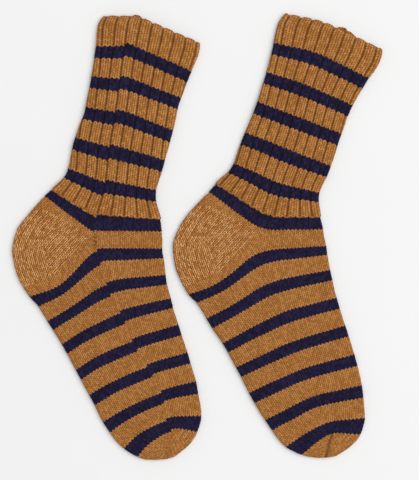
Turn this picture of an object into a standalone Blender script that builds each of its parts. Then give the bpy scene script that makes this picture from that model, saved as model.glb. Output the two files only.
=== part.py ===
"""A pair of hand-knitted wool socks, laid flat side by side.

Each sock is one hollow knitted tube: a ribbed leg, a turned heel, a plain foot and a
rounded toe.  It is flattened so that its two layers lie on each other, with the fold
edges round, the cuff open and the underside flat on the surface that it rests on.
"""

import math

import bmesh
import bpy
import numpy as np

MM = 0.001

# Cloth, in mm
WALL = 2.2              # thickness of the knitted cloth
GAP = 0.8               # air left between the two layers at the fold edges
SWELL = 1.2             # how much more the layers stand apart in the middle
SWELL_REACH = 34.0      # distance from the edge at which the swell is full
HALF = WALL + GAP / 2   # half the height of the flattened tube, also its edge radius
LEAST_OPEN = 0.25       # share of the gap that is kept right up to the inner folds
RIM_DROP = 0.5          # how far the cuff's rim is rounded over
PEEK_ROUNDS = 4.0       # rounds over which the lower layer's rim may show at the cuff

# Knitting, counted in rounds from the cuff
FIRST_STRIPE = 12       # rounds knitted before the first navy stripe
STRIPE_REPEAT = 13      # rounds from one stripe to the next
STRIPE_ROUNDS = 5       # rounds in a stripe
STRIPES = 13
LEG_STRIPES = 6         # stripes above the heel, the last of them without ribs
HEEL_START = FIRST_STRIPE + (LEG_STRIPES - 1) * STRIPE_REPEAT + STRIPE_ROUNDS
HEEL_END = FIRST_STRIPE + LEG_STRIPES * STRIPE_REPEAT
RIB_END = HEEL_START - STRIPE_ROUNDS
RIB_FADE = 1.5          # rounds over which the ribs sink away there
LAST_ROUND = 183        # the toe is closed after this round

# Ribbing
RIBS_ROUND = 18         # ribs round the leg, each two knit stitches and a purl one
RIB_HEIGHT = 1.0        # how far a rib stands over the furrow beside it, in mm
RIB_SHAPE = (           # place across one rib, share of its height
    (0.00, 0.00),
    (0.25, 0.92),
    (0.50, 1.00),
    (0.75, 0.92),
)
SPARE_RIBS = 2          # ribs kept in full next to the upper layer, because ribs creep

# Rings and columns of points
LEG_RING_GAP = 4.5      # most rounds between two rings of the leg
HALF_COLUMNS = 8        # points from a fold edge to the bend, on each layer of the foot
INSIDE_HALF_COLUMNS = 5
RIM_ROUND = 0.8         # the cuff's rim is rounded over before this round
HEEL_RINGS = (83.0, 84.0, 85.0, 86.0, 87.0, 88.0, 89.0)
TOE_RINGS = (175.5, 178.0, 180.5, 182.0, LAST_ROUND)
LEG_INSIDE_RINGS = (0.0, 4.0, 14.5, 30.0, 43.0, 56.0, 69.0, RIB_END, HEEL_START)
FOOT_INSIDE_RINGS = (HEEL_END, 97.0, 108.0, 121.0, 134.0, 147.0, 160.0, 168.0, 173.0, 176.0)
LAST_INSIDE_ROUND = 178.5
EDGE_STEP = 0.5         # rounds between the points of the outline
PAST_CUFF = 30.0        # the outline runs on this far past the open cuff, in mm
EDGE_STRETCH = 2.2      # most that a slanting round may widen the round fold edge
MOST_EDGE = 0.45        # most of a round's length that one fold edge may take
SHARP_ANGLE = 40        # degrees
WELD = 0.01             # mm
TINY = 1e-9

# The pair's own middle in the measured sizes below, moved to the origin, in mm
PAIR_CENTRE = (1.15, 0.65)

# Measured rounds, in mm on the floor.  A round runs across the sock from its back edge
# over a bend to its front edge; bow is how far it arches between back edge and bend.
# The columns: round, back x, back y, bend x, bend y, front x, front y, bow.
LEFT_ROUNDS = (
    (0.0, -89.5, 210.5, -56.0, 210.5, 3.0, 185.0, 0.0),
    (4.0, -94.0, 202.0, -59.5, 202.5, 1.0, 175.0, 0.0),
    (14.5, -95.5, 178.0, -66.0, 179.0, -8.0, 154.0, 0.0),
    (27.5, -100.0, 149.0, -66.0, 146.5, -16.0, 129.5, 0.0),
    (40.5, -106.5, 118.5, -69.0, 113.0, -24.5, 96.5, 0.0),
    (53.5, -116.5, 89.5, -79.5, 79.5, -32.5, 68.5, 0.0),
    (66.5, -123.0, 60.5, -89.5, 47.5, -39.5, 40.0, 0.0),
    (77.0, -138.0, 45.5, -95.5, 21.0, -34.5, 18.0, 0.0),
    (82.0, -144.0, 40.0, -97.5, 5.5, -33.0, 6.0, 0.0),
    (83.5, -158.0, 24.5, -97.5, 3.0, -33.0, 3.0, 0.0),
    (85.0, -171.0, 7.0, -97.0, 0.0, -32.5, 0.0, 0.0),
    (86.5, -175.5, -12.0, -96.5, -3.5, -32.5, -3.5, 2.0),
    (88.0, -172.0, -32.0, -95.5, -6.5, -32.5, -6.5, 4.0),
    (90.0, -159.0, -56.5, -95.0, -10.0, -32.5, -10.0, 6.0),
    (95.0, -150.5, -66.0, -91.5, -23.0, -31.0, -20.0, 3.5),
    (105.5, -139.5, -84.0, -83.5, -47.5, -28.5, -41.5, 0.0),
    (118.5, -125.0, -107.5, -70.0, -77.0, -23.0, -64.0, 0.0),
    (131.5, -112.5, -131.0, -59.5, -103.0, -15.0, -89.5, 0.0),
    (144.5, -99.5, -154.5, -44.5, -127.5, -6.5, -116.0, 0.0),
    (157.5, -86.0, -181.0, -32.0, -152.5, 1.0, -143.5, 0.0),
    (168.0, -68.5, -201.5, -29.5, -174.0, 4.5, -168.5, 0.0),
    (173.0, -56.0, -209.0, -23.5, -184.5, 0.0, -185.5, 0.0),
    (178.0, -47.5, -211.5, -27.0, -197.0, -7.5, -198.0, 0.0),
    (183.0, -38.5, -212.0, -30.0, -212.0, -21.5, -209.5, 0.0),
)
RIGHT_ROUNDS = (
    (0.0, 84.5, 213.0, 120.0, 205.5, 177.0, 178.5, 0.0),
    (4.0, 78.5, 203.0, 118.0, 196.0, 173.5, 167.5, 0.0),
    (14.5, 73.5, 179.5, 110.5, 170.5, 160.0, 146.5, 0.0),
    (27.5, 66.0, 152.0, 101.5, 140.0, 145.5, 121.0, 0.0),
    (40.5, 56.5, 123.5, 102.5, 106.5, 136.0, 94.5, 0.0),
    (53.5, 44.5, 93.5, 89.5, 77.0, 126.0, 63.5, 0.0),
    (66.5, 33.5, 64.5, 75.0, 45.5, 116.0, 38.5, 0.0),
    (77.0, 18.0, 50.5, 68.5, 20.0, 118.0, 20.5, 0.0),
    (82.0, 12.0, 44.0, 61.0, 8.5, 120.5, 9.0, 0.0),
    (83.5, -4.0, 27.0, 60.5, 5.0, 121.0, 5.5, 0.0),
    (85.0, -16.0, 10.0, 60.5, 1.5, 121.5, 2.0, 0.0),
    (86.5, -22.5, -8.0, 60.5, -3.0, 122.5, -1.5, 2.0),
    (88.0, -20.0, -28.0, 61.0, -7.0, 123.0, -4.5, 4.0),
    (90.0, -7.0, -55.0, 61.5, -11.5, 123.5, -7.0, 6.0),
    (95.0, 0.5, -63.0, 64.5, -23.5, 124.5, -15.5, 3.5),
    (105.5, 13.0, -83.0, 72.0, -47.5, 128.5, -35.5, 0.0),
    (118.5, 28.0, -106.0, 84.5, -76.5, 135.0, -63.0, 0.0),
    (131.5, 40.5, -129.0, 94.0, -104.0, 143.5, -89.0, 0.0),
    (144.5, 53.0, -153.5, 103.5, -130.0, 152.0, -117.0, 0.0),
    (157.5, 69.0, -179.5, 112.0, -156.5, 158.5, -147.0, 0.0),
    (168.0, 85.5, -199.5, 123.5, -177.0, 160.5, -170.5, 0.0),
    (173.0, 100.0, -207.0, 128.5, -187.0, 156.5, -186.0, 0.0),
    (178.0, 108.5, -209.0, 125.5, -197.0, 147.5, -198.5, 0.0),
    (183.0, 116.5, -210.0, 123.0, -210.5, 132.0, -209.0, 0.0),
)

# How far the ribs have crept from the back edge towards the front one, because the tube
# lies slightly twisted.  The columns: round, share of the row.
LEFT_CREEP = ((0, 0.0), (14, 0.02), (27, 0.04), (40, 0.07), (53, 0.12), (66, 0.165), (77, 0.18))
RIGHT_CREEP = ((0, 0.0), (14, 0.015), (27, 0.03), (40, 0.05), (53, 0.065), (66, 0.08), (77, 0.095))

# name, measured rounds, creep, ribs on the upper layer, place of a furrow at the cuff,
# bend rounding, and the lower layer's rim showing past the upper one: where along the
# cuff, half the width of that stretch, and by how much
SOCKS = (
    dict(name="sock_left", rounds=LEFT_ROUNDS, creep=LEFT_CREEP, ribs_on_top=8.8,
         furrow_at=0.50, bend_round=0.05, peek_at=0.32, peek_half=0.10, peek=1.5),
    dict(name="sock_right", rounds=RIGHT_ROUNDS, creep=RIGHT_CREEP, ribs_on_top=9.2,
         furrow_at=0.494, bend_round=0.12, peek_at=0.60, peek_half=0.13, peek=3.5),
)

# name, colour, roughness
COLOURS = (
    ("brown wool", (0.434, 0.181, 0.047), 0.92),
    ("navy wool", (0.014, 0.011, 0.042), 0.92),
    ("marled heel wool", (0.520, 0.250, 0.090), 0.92),
)
BROWN, NAVY, HEEL = range(len(COLOURS))


def unit(vectors):
    vectors = np.asarray(vectors, float)
    return vectors / np.maximum(np.linalg.norm(vectors, axis=-1, keepdims=True), TINY)


def cross(a, b):
    return a[..., 0] * b[..., 1] - a[..., 1] * b[..., 0]


def smooth_table(table, places):
    """Monotone cubic curve through the rows of a table, read at each place."""
    data = np.array(table, float)
    at, values = data[:, 0], data[:, 1:]
    step = np.diff(at)[:, None]
    slope = np.diff(values, axis=0) / step
    same_way = slope[:-1] * slope[1:] > 0
    first_weight = 2 * step[1:] + step[:-1]
    second_weight = step[1:] + 2 * step[:-1]
    safe_a = np.where(same_way, slope[:-1], 1.0)
    safe_b = np.where(same_way, slope[1:], 1.0)
    mean = (first_weight + second_weight) / (first_weight / safe_a + second_weight / safe_b)
    lean = np.vstack([slope[:1], np.where(same_way, mean, 0.0), slope[-1:]])
    places = np.asarray(places, float)
    i = np.clip(np.searchsorted(at, places, side="right") - 1, 0, len(at) - 2)
    width = (at[i + 1] - at[i])[:, None]
    t = (places[:, None] - at[i][:, None]) / width
    return ((1 + 2 * t) * (1 - t) ** 2 * values[i] + t * (1 - t) ** 2 * width * lean[i]
            + t * t * (3 - 2 * t) * values[i + 1] + t * t * (t - 1) * width * lean[i + 1])


class Rows:
    """The measured rounds of one sock as curves on the floor, in mm."""

    def __init__(self, sock):
        self.sock = sock
        count = round(LAST_ROUND / EDGE_STEP) + 1
        back, bend, front, _ = self.corners(np.linspace(0, LAST_ROUND, count))
        lead = round(PEEK_ROUNDS / EDGE_STEP)
        over_back = back[0] + PAST_CUFF * unit(back[0] - back[lead])
        over_front = front[0] + PAST_CUFF * unit(front[0] - front[lead])
        self.edge = np.vstack([over_back, back, bend[-1:], front[::-1], over_front])

    def corners(self, rounds):
        row = smooth_table(self.sock["rounds"], rounds)
        centre = np.array(PAIR_CENTRE)
        return row[:, 0:2] - centre, row[:, 2:4] - centre, row[:, 4:6] - centre, row[:, 6]

    def to_bend(self, rounds):
        """The bend's place along each row, as a share of the row's length."""
        back, bend, front, _ = self.corners(rounds)
        first = np.linalg.norm(bend - back, axis=1)
        return first / (first + np.linalg.norm(front - bend, axis=1))

    def lengths(self, rounds):
        """Each row's whole length, and how much its slant widens its two fold edges."""
        back, bend, front, _ = self.corners(rounds)
        total = np.linalg.norm(bend - back, axis=1) + np.linalg.norm(front - bend, axis=1)
        before = self.corners(np.clip(rounds - EDGE_STEP, 0, LAST_ROUND))
        after = self.corners(np.clip(rounds + EDGE_STEP, 0, LAST_ROUND))
        back_slant = np.abs(cross(unit(bend - back), unit(after[0] - before[0])))
        front_slant = np.abs(cross(unit(front - bend), unit(after[2] - before[2])))
        least = 1 / EDGE_STRETCH
        return total, 1 / np.maximum(back_slant, least), 1 / np.maximum(front_slant, least)

    def points(self, rounds, length):
        """Points on the floor, one for each round, at a length along it from its back edge."""
        back, bend, front, bow = self.corners(rounds)
        first = np.linalg.norm(bend - back, axis=1)
        total = first + np.linalg.norm(front - bend, axis=1)
        first_way = unit(bend - back)
        second_way = unit(front - bend)
        rounding = self.sock["bend_round"] * total
        over = length - first
        curve = (over + rounding) ** 2 / (4 * rounding)
        past = np.where(over < -rounding, 0.0, np.where(over > rounding, over, curve))
        place = back + (length - past)[:, None] * first_way + past[:, None] * second_way
        share = np.clip(length / first, 0, 1)
        arch = 4 * bow * share * (1 - share)
        outward = np.stack([first_way[:, 1], -first_way[:, 0]], axis=1)
        return place + arch[:, None] * outward

    def edge_distance(self, places):
        """Distance on the floor from each place to the sock's folded outline."""
        start, end = self.edge[:-1], self.edge[1:]
        run = end - start
        square = np.maximum((run ** 2).sum(axis=1), TINY)
        offset = places[:, None, :] - start[None, :, :]
        t = np.clip((offset * run).sum(axis=2) / square, 0, 1)
        gap = offset - t[..., None] * run
        return np.sqrt((gap ** 2).sum(axis=2)).min(axis=1)


def swell(distance):
    t = np.clip(distance / SWELL_REACH, 0, 1)
    return SWELL * t * t * (3 - 2 * t)


def peek_shift(rows, rounds, share, under):
    """How the lower layer's rim is pushed out past the upper one near the cuff."""
    sock = rows.sock
    fade = max(0.0, 1 - rounds / PEEK_ROUNDS)
    back, _, front, _ = rows.corners(np.array([rounds]))
    way = unit(front[0] - back[0])
    outward = np.array([-way[1], way[0]])
    t = np.clip(np.abs(share - sock["peek_at"]) / sock["peek_half"], 0, 1)
    amount = sock["peek"] * (1 - t * t * (3 - 2 * t)) * fade
    return np.where(under, amount, 0.0)[:, None] * outward


def outside_ring(rows, rounds, turn, raised):
    """Points of one outer ring.  turn runs 0 to 1 over the upper layer, 1 to 2 under."""
    at = np.full(len(turn), float(rounds))
    under = turn > 1
    share = np.where(under, 2 - turn, turn)
    total, back_wide, front_wide = rows.lengths(at)
    back_edge = np.minimum(HALF * back_wide, MOST_EDGE * total)
    front_edge = np.minimum(HALF * front_wide, MOST_EDGE * total)
    # The arc of a quarter turn round each fold edge, and the row's length over both.
    back_arc = math.pi / 2 * (HALF + back_edge) / 2
    front_arc = math.pi / 2 * (HALF + front_edge) / 2
    around = total - back_edge - front_edge + back_arc + front_arc
    run = share * around
    at_back = run < back_arc
    at_front = around - run < front_arc
    back_turn = np.clip(run / back_arc, 0, 1) * math.pi / 2
    front_turn = np.clip((around - run) / front_arc, 0, 1) * math.pi / 2
    length = np.where(at_back, back_edge * (1 - np.cos(back_turn)), back_edge + run - back_arc)
    length = np.where(at_front, total - front_edge * (1 - np.cos(front_turn)), length)
    place = rows.points(at, length)
    distance = rows.edge_distance(place)
    if rounds == LAST_ROUND:
        distance = np.zeros(len(turn))
    lift = HALF * np.sqrt(np.clip(1 - (1 - np.minimum(distance / HALF, 1)) ** 2, 0, 1))
    height = np.where(under, HALF - lift, HALF + lift + swell(distance))
    # A rib stands out of the surface, sideways at the fold edges, and sinks away below.
    stand = raised * np.where(under, 1 - lift / HALF, 1.0)
    sideways = np.where(at_back, -np.cos(back_turn), np.where(at_front, np.cos(front_turn), 0.0))
    upwards = np.where(under, 0.0, np.sqrt(1 - sideways ** 2))
    back, _, front, _ = rows.corners(at)
    place = place + (stand * sideways)[:, None] * unit(front - back)
    place = place + peek_shift(rows, rounds, share, under)
    return np.column_stack([place, height + stand * upwards])


def inside_ring(rows, rounds, turn):
    """Points of one ring of the inner surface, WALL inside the outer one."""
    at = np.full(len(turn), float(rounds))
    under = turn > 1
    share = np.where(under, 2 - turn, turn)
    total, back_wide, front_wide = rows.lengths(at)
    back_inset = WALL * back_wide
    front_inset = WALL * front_wide
    place = rows.points(at, back_inset + share * (total - back_inset - front_inset))
    distance = rows.edge_distance(place)
    half_gap = GAP / 2
    t = np.clip((distance - WALL) / half_gap, 0, 1)
    opened = half_gap * np.maximum(np.sqrt(1 - (1 - t) ** 2), LEAST_OPEN)
    meets = (share == 0) | (share == 1) | (rounds == LAST_INSIDE_ROUND)
    opened = np.where(meets, 0.0, opened)
    spread = np.where(meets, 0.0, swell(distance))
    height = np.where(under, HALF - opened, HALF + opened + spread)
    place = place + peek_shift(rows, rounds, share, under)
    return np.column_stack([place, height])


def rib_columns(sock):
    """Columns of points round the leg: place counted in ribs, and share of rib height."""
    first_plain = math.ceil(sock["ribs_on_top"])
    phase = (sock["furrow_at"] * sock["ribs_on_top"]) % 1.0
    columns = []
    for rib in range(-SPARE_RIBS, first_plain):
        columns += [(rib + phase + place, height) for place, height in RIB_SHAPE]
    for rib in range(first_plain, RIBS_ROUND - SPARE_RIBS):
        columns.append((rib + phase + 0.5, 1.0))
    return np.array(columns)


def leg_ring(rows, rounds):
    """One ribbed ring, its points in order round the tube, with their turns."""
    sock = rows.sock
    columns = rib_columns(sock)
    on_top = sock["ribs_on_top"]
    creep = smooth_table(sock["creep"], [rounds])[0, 0]
    place = (columns[:, 0] + creep * on_top) % RIBS_ROUND
    turn = np.where(place < on_top, place / on_top,
                    1 + (place - on_top) / (RIBS_ROUND - on_top))
    fade = np.clip((RIB_END - rounds) / RIB_FADE, 0, 1)
    points = outside_ring(rows, rounds, turn, RIB_HEIGHT * fade * columns[:, 1])
    if rounds == 0:
        points[:, 2] -= np.where(turn <= 1, RIM_DROP, 0.0)
    return points, turn


def plain_turns(rows, rounds, half_columns):
    """Turns of one plain ring, which has a column of points on the bend of each layer."""
    columns = 2 * half_columns
    turn = np.arange(2 * columns) / columns
    share = np.where(turn > 1, 2 - turn, turn)
    at_bend = rows.to_bend(np.array([float(rounds)]))[0]
    share = np.interp(share, (0, 0.5, 1), (0, at_bend, 1))
    return np.where(turn > 1, 2 - share, share)


def add_ring(bm, points):
    return [bm.verts.new(point * MM) for point in points]


def join_rings(bm, ring_a, ring_b, yarns):
    """Quads between two rings of as many points; yarns gives each column's colour."""
    count = len(ring_a)
    for i in range(count):
        j = (i + 1) % count
        face = bm.faces.new((ring_a[i], ring_a[j], ring_b[j], ring_b[i]))
        face.material_index = yarns[i]


def zip_rings(bm, ring_a, turn_a, ring_b, turn_b, yarn):
    """Triangles between two rings of unlike numbers of points, matched by their turns."""
    order_a = np.argsort(turn_a)
    order_b = np.argsort(turn_b)
    ring_a = [ring_a[i] for i in order_a]
    ring_b = [ring_b[i] for i in order_b]
    turn_a = np.append(turn_a[order_a], turn_a[order_a[0]] + 2)
    turn_b = np.append(turn_b[order_b], turn_b[order_b[0]] + 2)
    i = j = 0
    while i < len(ring_a) or j < len(ring_b):
        here_a = ring_a[i % len(ring_a)]
        here_b = ring_b[j % len(ring_b)]
        if i < len(ring_a) and (j >= len(ring_b) or turn_a[i + 1] <= turn_b[j + 1]):
            i += 1
            face = bm.faces.new((here_a, ring_a[i % len(ring_a)], here_b))
        else:
            j += 1
            face = bm.faces.new((here_a, ring_b[j % len(ring_b)], here_b))
        face.material_index = yarn


def stripe_edges():
    """The rounds at which a stripe starts or ends."""
    edges = []
    for stripe in range(STRIPES):
        start = FIRST_STRIPE + stripe * STRIPE_REPEAT
        edges += [start, start + STRIPE_ROUNDS]
    return edges


def in_stripe(rounds):
    since = rounds - FIRST_STRIPE
    return 0 <= since < STRIPES * STRIPE_REPEAT and since % STRIPE_REPEAT < STRIPE_ROUNDS


def filled_in(marks, most):
    """The marks, with evenly spaced ones put between any two that are too far apart."""
    places = [marks[0]]
    for start, end in zip(marks[:-1], marks[1:]):
        parts = math.ceil((end - start) / most)
        places += [start + (end - start) * part / parts for part in range(1, parts + 1)]
    return places


def foot_yarns(start, end):
    """The yarn of each column of faces between two plain rings."""
    columns = 4 * HALF_COLUMNS
    if in_stripe((start + end) / 2):
        return [NAVY] * columns
    if not HEEL_START <= start < HEEL_END:
        return [BROWN] * columns
    # The heel goes round the back edge, from the bend above to the bend below.
    return [HEEL if i < HALF_COLUMNS or i >= 3 * HALF_COLUMNS else BROWN for i in range(columns)]


def build_leg(bm, rows):
    """The ribbed leg's outer rings; returns the first and the last, each with its turns."""
    marks = [0.0, RIM_ROUND] + [edge for edge in stripe_edges() if edge < RIB_END]
    marks += [RIB_END - RIB_FADE, RIB_END]
    rounds = filled_in(marks, LEG_RING_GAP)
    points, turn = leg_ring(rows, rounds[0])
    rim, rim_turn = add_ring(bm, points), turn
    last = rim
    for start, end in zip(rounds[:-1], rounds[1:]):
        points, turn = leg_ring(rows, end)
        ring = add_ring(bm, points)
        yarn = NAVY if in_stripe((start + end) / 2) else BROWN
        join_rings(bm, last, ring, [yarn] * len(ring))
        last = ring
    return rim, rim_turn, last, turn


def build_foot(bm, rows, leg_end, leg_turn):
    """The outer rings of heel, foot and toe, joined to the leg's last ring."""
    rounds = [edge for edge in stripe_edges() if edge > RIB_END] + list(HEEL_RINGS) + list(TOE_RINGS)
    rounds.sort()
    last = None
    for number, here in enumerate(rounds):
        turn = plain_turns(rows, here, HALF_COLUMNS)
        ring = add_ring(bm, outside_ring(rows, here, turn, np.zeros(len(turn))))
        if last is None:
            zip_rings(bm, leg_end, leg_turn, ring, turn, NAVY)
        else:
            join_rings(bm, last, ring, foot_yarns(rounds[number - 1], here))
        last = ring


def build_inside(bm, rows):
    """The inner surface, closed at the toe; returns its rim at the cuff with its turns."""
    rounds = LEG_INSIDE_RINGS + HEEL_RINGS + FOOT_INSIDE_RINGS + (LAST_INSIDE_ROUND,)
    turns = [plain_turns(rows, here, INSIDE_HALF_COLUMNS) for here in rounds]
    rings = [add_ring(bm, inside_ring(rows, here, turn)) for here, turn in zip(rounds, turns)]
    for ring_a, ring_b in zip(rings[:-1], rings[1:]):
        join_rings(bm, ring_a, ring_b, [BROWN] * len(ring_a))
    return rings[0], turns[0]


def build_sock(sock, materials):
    rows = Rows(sock)
    bm = bmesh.new()
    rim, rim_turn, leg_end, leg_turn = build_leg(bm, rows)
    build_foot(bm, rows, leg_end, leg_turn)
    inner_rim, inner_turn = build_inside(bm, rows)
    zip_rings(bm, rim, rim_turn, inner_rim, inner_turn, BROWN)
    # The last ring of the toe, and of the inside, lies flat: its two layers are one seam.
    bmesh.ops.remove_doubles(bm, verts=bm.verts, dist=WELD * MM)
    bmesh.ops.recalc_face_normals(bm, faces=bm.faces)
    mesh = bpy.data.meshes.new(sock["name"])
    bm.to_mesh(mesh)
    bm.free()
    for material in materials:
        mesh.materials.append(material)
    mesh.shade_smooth()
    mesh.set_sharp_from_angle(angle=math.radians(SHARP_ANGLE))
    item = bpy.data.objects.new(sock["name"], mesh)
    bpy.context.scene.collection.objects.link(item)


def wool(name, colour, roughness):
    material = bpy.data.materials.new(name)
    material.use_nodes = True
    shader = material.node_tree.nodes["Principled BSDF"]
    shader.inputs["Base Color"].default_value = (*colour, 1.0)
    shader.inputs["Roughness"].default_value = roughness
    shader.inputs["Metallic"].default_value = 0.0
    material.diffuse_color = (*colour, 1.0)
    return material


def main():
    for item in list(bpy.data.objects):
        bpy.data.objects.remove(item, do_unlink=True)
    for sock in SOCKS:
        build_sock(sock, [wool(*colour) for colour in COLOURS])


main()
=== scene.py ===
"""The looks of a pair of hand-knitted wool socks that lie flat side by side.

Each sock is four pieces of cloth: the ribbed leg, the ankle stripe, the heel and the foot.
Each piece is a closed wall with an outer skin knitted stitch by stitch.  Sizes are in
millimetres until a mesh is stored in metres.  A place on the cloth is given by its round,
counted from the cuff, and by its wale, the upright column of stitches that it is in.
"""

import math

import bmesh
import bpy
import numpy as np
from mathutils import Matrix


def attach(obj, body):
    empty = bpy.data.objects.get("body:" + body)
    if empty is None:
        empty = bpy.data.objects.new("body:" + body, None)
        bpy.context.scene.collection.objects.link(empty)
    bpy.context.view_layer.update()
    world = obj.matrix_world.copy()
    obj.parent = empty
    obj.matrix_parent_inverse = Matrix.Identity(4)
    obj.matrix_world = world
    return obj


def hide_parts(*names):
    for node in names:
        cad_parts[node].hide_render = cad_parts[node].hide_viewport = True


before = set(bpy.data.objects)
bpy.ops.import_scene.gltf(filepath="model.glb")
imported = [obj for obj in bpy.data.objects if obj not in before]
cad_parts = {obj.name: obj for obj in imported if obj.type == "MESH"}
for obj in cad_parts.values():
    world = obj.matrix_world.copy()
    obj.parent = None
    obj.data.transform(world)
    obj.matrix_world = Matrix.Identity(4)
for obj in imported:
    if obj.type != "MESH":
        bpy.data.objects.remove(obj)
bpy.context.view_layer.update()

MM = 0.001
TINY = 1e-9             # difference that is left over by rounding
SAME_ROW = 1e-6         # rows that are closer than this count as the same
CHUNK = 4000            # points that are measured against the outline at a time
CURVE_POINTS = 400      # points along a curve of which only the course is wanted
OUTLINE_STEP = 0.1      # rounds between the outline's points beside the heel
EDGE_STEP = 0.05        # and between those by which the way along it is measured

# Cloth, in mm
WALL = 2.2              # thickness of the knitted cloth
GAP = 0.8               # air left between the two layers at the fold edges
SWELL = 1.2             # how much more the layers stand apart in the middle
SWELL_REACH = 34.0      # distance from the edge at which the swell is full
HALF = WALL + GAP / 2   # half the height of the flattened tube, also its edge radius
EDGE_SLACK = 0.04       # distance that is forgiven beside the fold edges
EDGE_STRETCH = 2.2      # most that a slanting round may widen the round fold edge
MOST_EDGE = 0.45        # most of a round's length that one fold edge may take
PAST_CUFF = 30.0        # the outline runs on this far past the open cuff
CUFF_RUN = 4            # rounds that give the way in which it runs on
PEEK_ROUNDS = 4.0       # first rounds of the lower layer that may show past the upper one

# Knitting, counted in rounds from the cuff
FIRST_STRIPE = 12
STRIPE_REPEAT = 13
STRIPE_ROUNDS = 5
STRIPES = 13
RIB_END = 77            # the ribs end here, where the ankle stripe starts
HEEL_START = 82         # the ankle stripe ends and the heel starts
HEEL_END = 90           # the first stripe of the foot starts
LAST_ROUND = 183        # the toe is closed after this round
FOOT_ROUNDING = 20.0    # rounds over which the leg's bend changes to the foot's
TURN_ROUND = 86.7       # the heel's outer strip turns at the back edge of this round
SPACED_TO = 95          # the foot's first rounds are evenly spaced at the back as far as here
ROWS = 3                # rows of faces in a round
WALE_POINTS = (0.0, 0.16, 0.34, 0.5, 0.66, 0.84)     # points across a wale, upper layer
UNDER_POINTS = (0.0, 0.25, 0.5, 0.75)                # and lower layer

# Stitches, in mm unless they are shares
LEAN = 0.7              # how far a stitch's legs spread along the wale, in rounds
LEG_HEIGHT = 0.52       # depth of the furrow between two wales
LEG_POWER = 0.8         # how flat the back of a stitch's leg is
SPLIT = 0.30            # depth of the line between the two legs of a stitch
NOTCH = 0.36            # depth of the line between two rounds
PROUD = 0.30            # how far the stitches stand out of the mean surface
SEAM_DEPTH = -0.35      # level of the seam lines where wales end
SEAM_FADE = 0.9         # distance over which stitches sink to that level
UNEVEN = 0.14           # how much stitches differ in height, as a share
UNEVEN_REPEAT = (97, 211)   # legs and rows after which these differences start again
TUCKED = -0.95          # level of an edge that is tucked below another piece
TUCK_AHEAD = 0.15       # rounds by which it starts to rise before the edge that covers it
TUCK_RISE = 0.8         # rounds in which it comes up to its own level
TUCK_LENGTH = 1.0       # rounds of the foot that stay below the ankle stripe
WELD = 0.004            # points that are closer than this become one

# Each part of a sock counts its wales from a number of its own, so that its light and dark,
# high and low stitches are its own too.
HEEL_WALES_FROM = 11
FOOT_WALES_FROM = 31
FRONT_WALES_FROM = 100
UNDER_WALES_FROM = 200
UNDER_HEEL_FROM = 50

# Ribbing
RIBS_ROUND = 18         # ribs round the leg
RIB_WALES = 3           # wales in a rib: a purl one and two knit ones
RIB_HEIGHT = 1.0
RIB_POWER = 6.0         # how flat the rib's back is
FURROW = 0.75           # how much deeper the purl wale lies than the rib's foot
FURROW_HALF = 0.04      # half of the furrow's width, as a share of the rib
LINE_HALF = 0.05        # half of the width of the painted shade line in it
PURL_HALF = 0.06        # half of the purl wale's width, as a share of the rib
PURL_PLAIN = 1 / 6      # the same in the plain rounds
PURL_MIDDLE = 0.5       # its middle, in wales from the start of the rib
RIB_FADE = 1.5          # rounds over which the ribs sink away
RIBS_PAST = 0.5         # rounds of the ankle stripe that they reach into

# Rims
SCALLOP = 0.55          # how far the cuff's edge is drawn in at a furrow, in rounds
SCALLOP_HALF = 0.16     # half of that dip's width, as a share of the rib
CUFF_OUT = 0.35         # and how far it stands out between the furrows
CUFF_PULL = 3.0         # rounds over which the scallops fade
CUFF_SPREAD = 0.8       # rounds over which the stitches' legs come to spread fully
CUFF_EASE = 1.0         # rounds over which the stitches come to stand out fully
CUFF_RIB = 0.5          # share of the ribs' height that is left on the rim
RIM = 1.1               # radius of the cuff's rolled rim
RIM_STEPS = 6
LEG_ROUND = 2.35        # height of a round in the leg
CUFF_START = RIM / LEG_ROUND    # rounds that the rim takes up

# The hand knitting wanders from its measured lines, by this much in mm.  Across and along
# the sock it does so in a wave whose crests bend, crossed by a weaker one.  The columns: the
# wave's length, the length and depth of its bends, and the other wave's length and slant.
WOBBLE = 0.22
WOBBLE_ACROSS = (5.3, 17.0, 2.1, 3.9, 11.0)
WOBBLE_ALONG = (6.1, 13.0, 1.7, 4.3, -12.0)
WOBBLE_WEAKER = 0.7
WOBBLE_UP = ((9.0, 14.0, 0.0), (16.0, -7.5, 1.0))    # lengths in x and y, and shift

# The pair's own middle in the measured sizes below, moved to the origin
PAIR_CENTRE = (1.15, 0.65)

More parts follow.
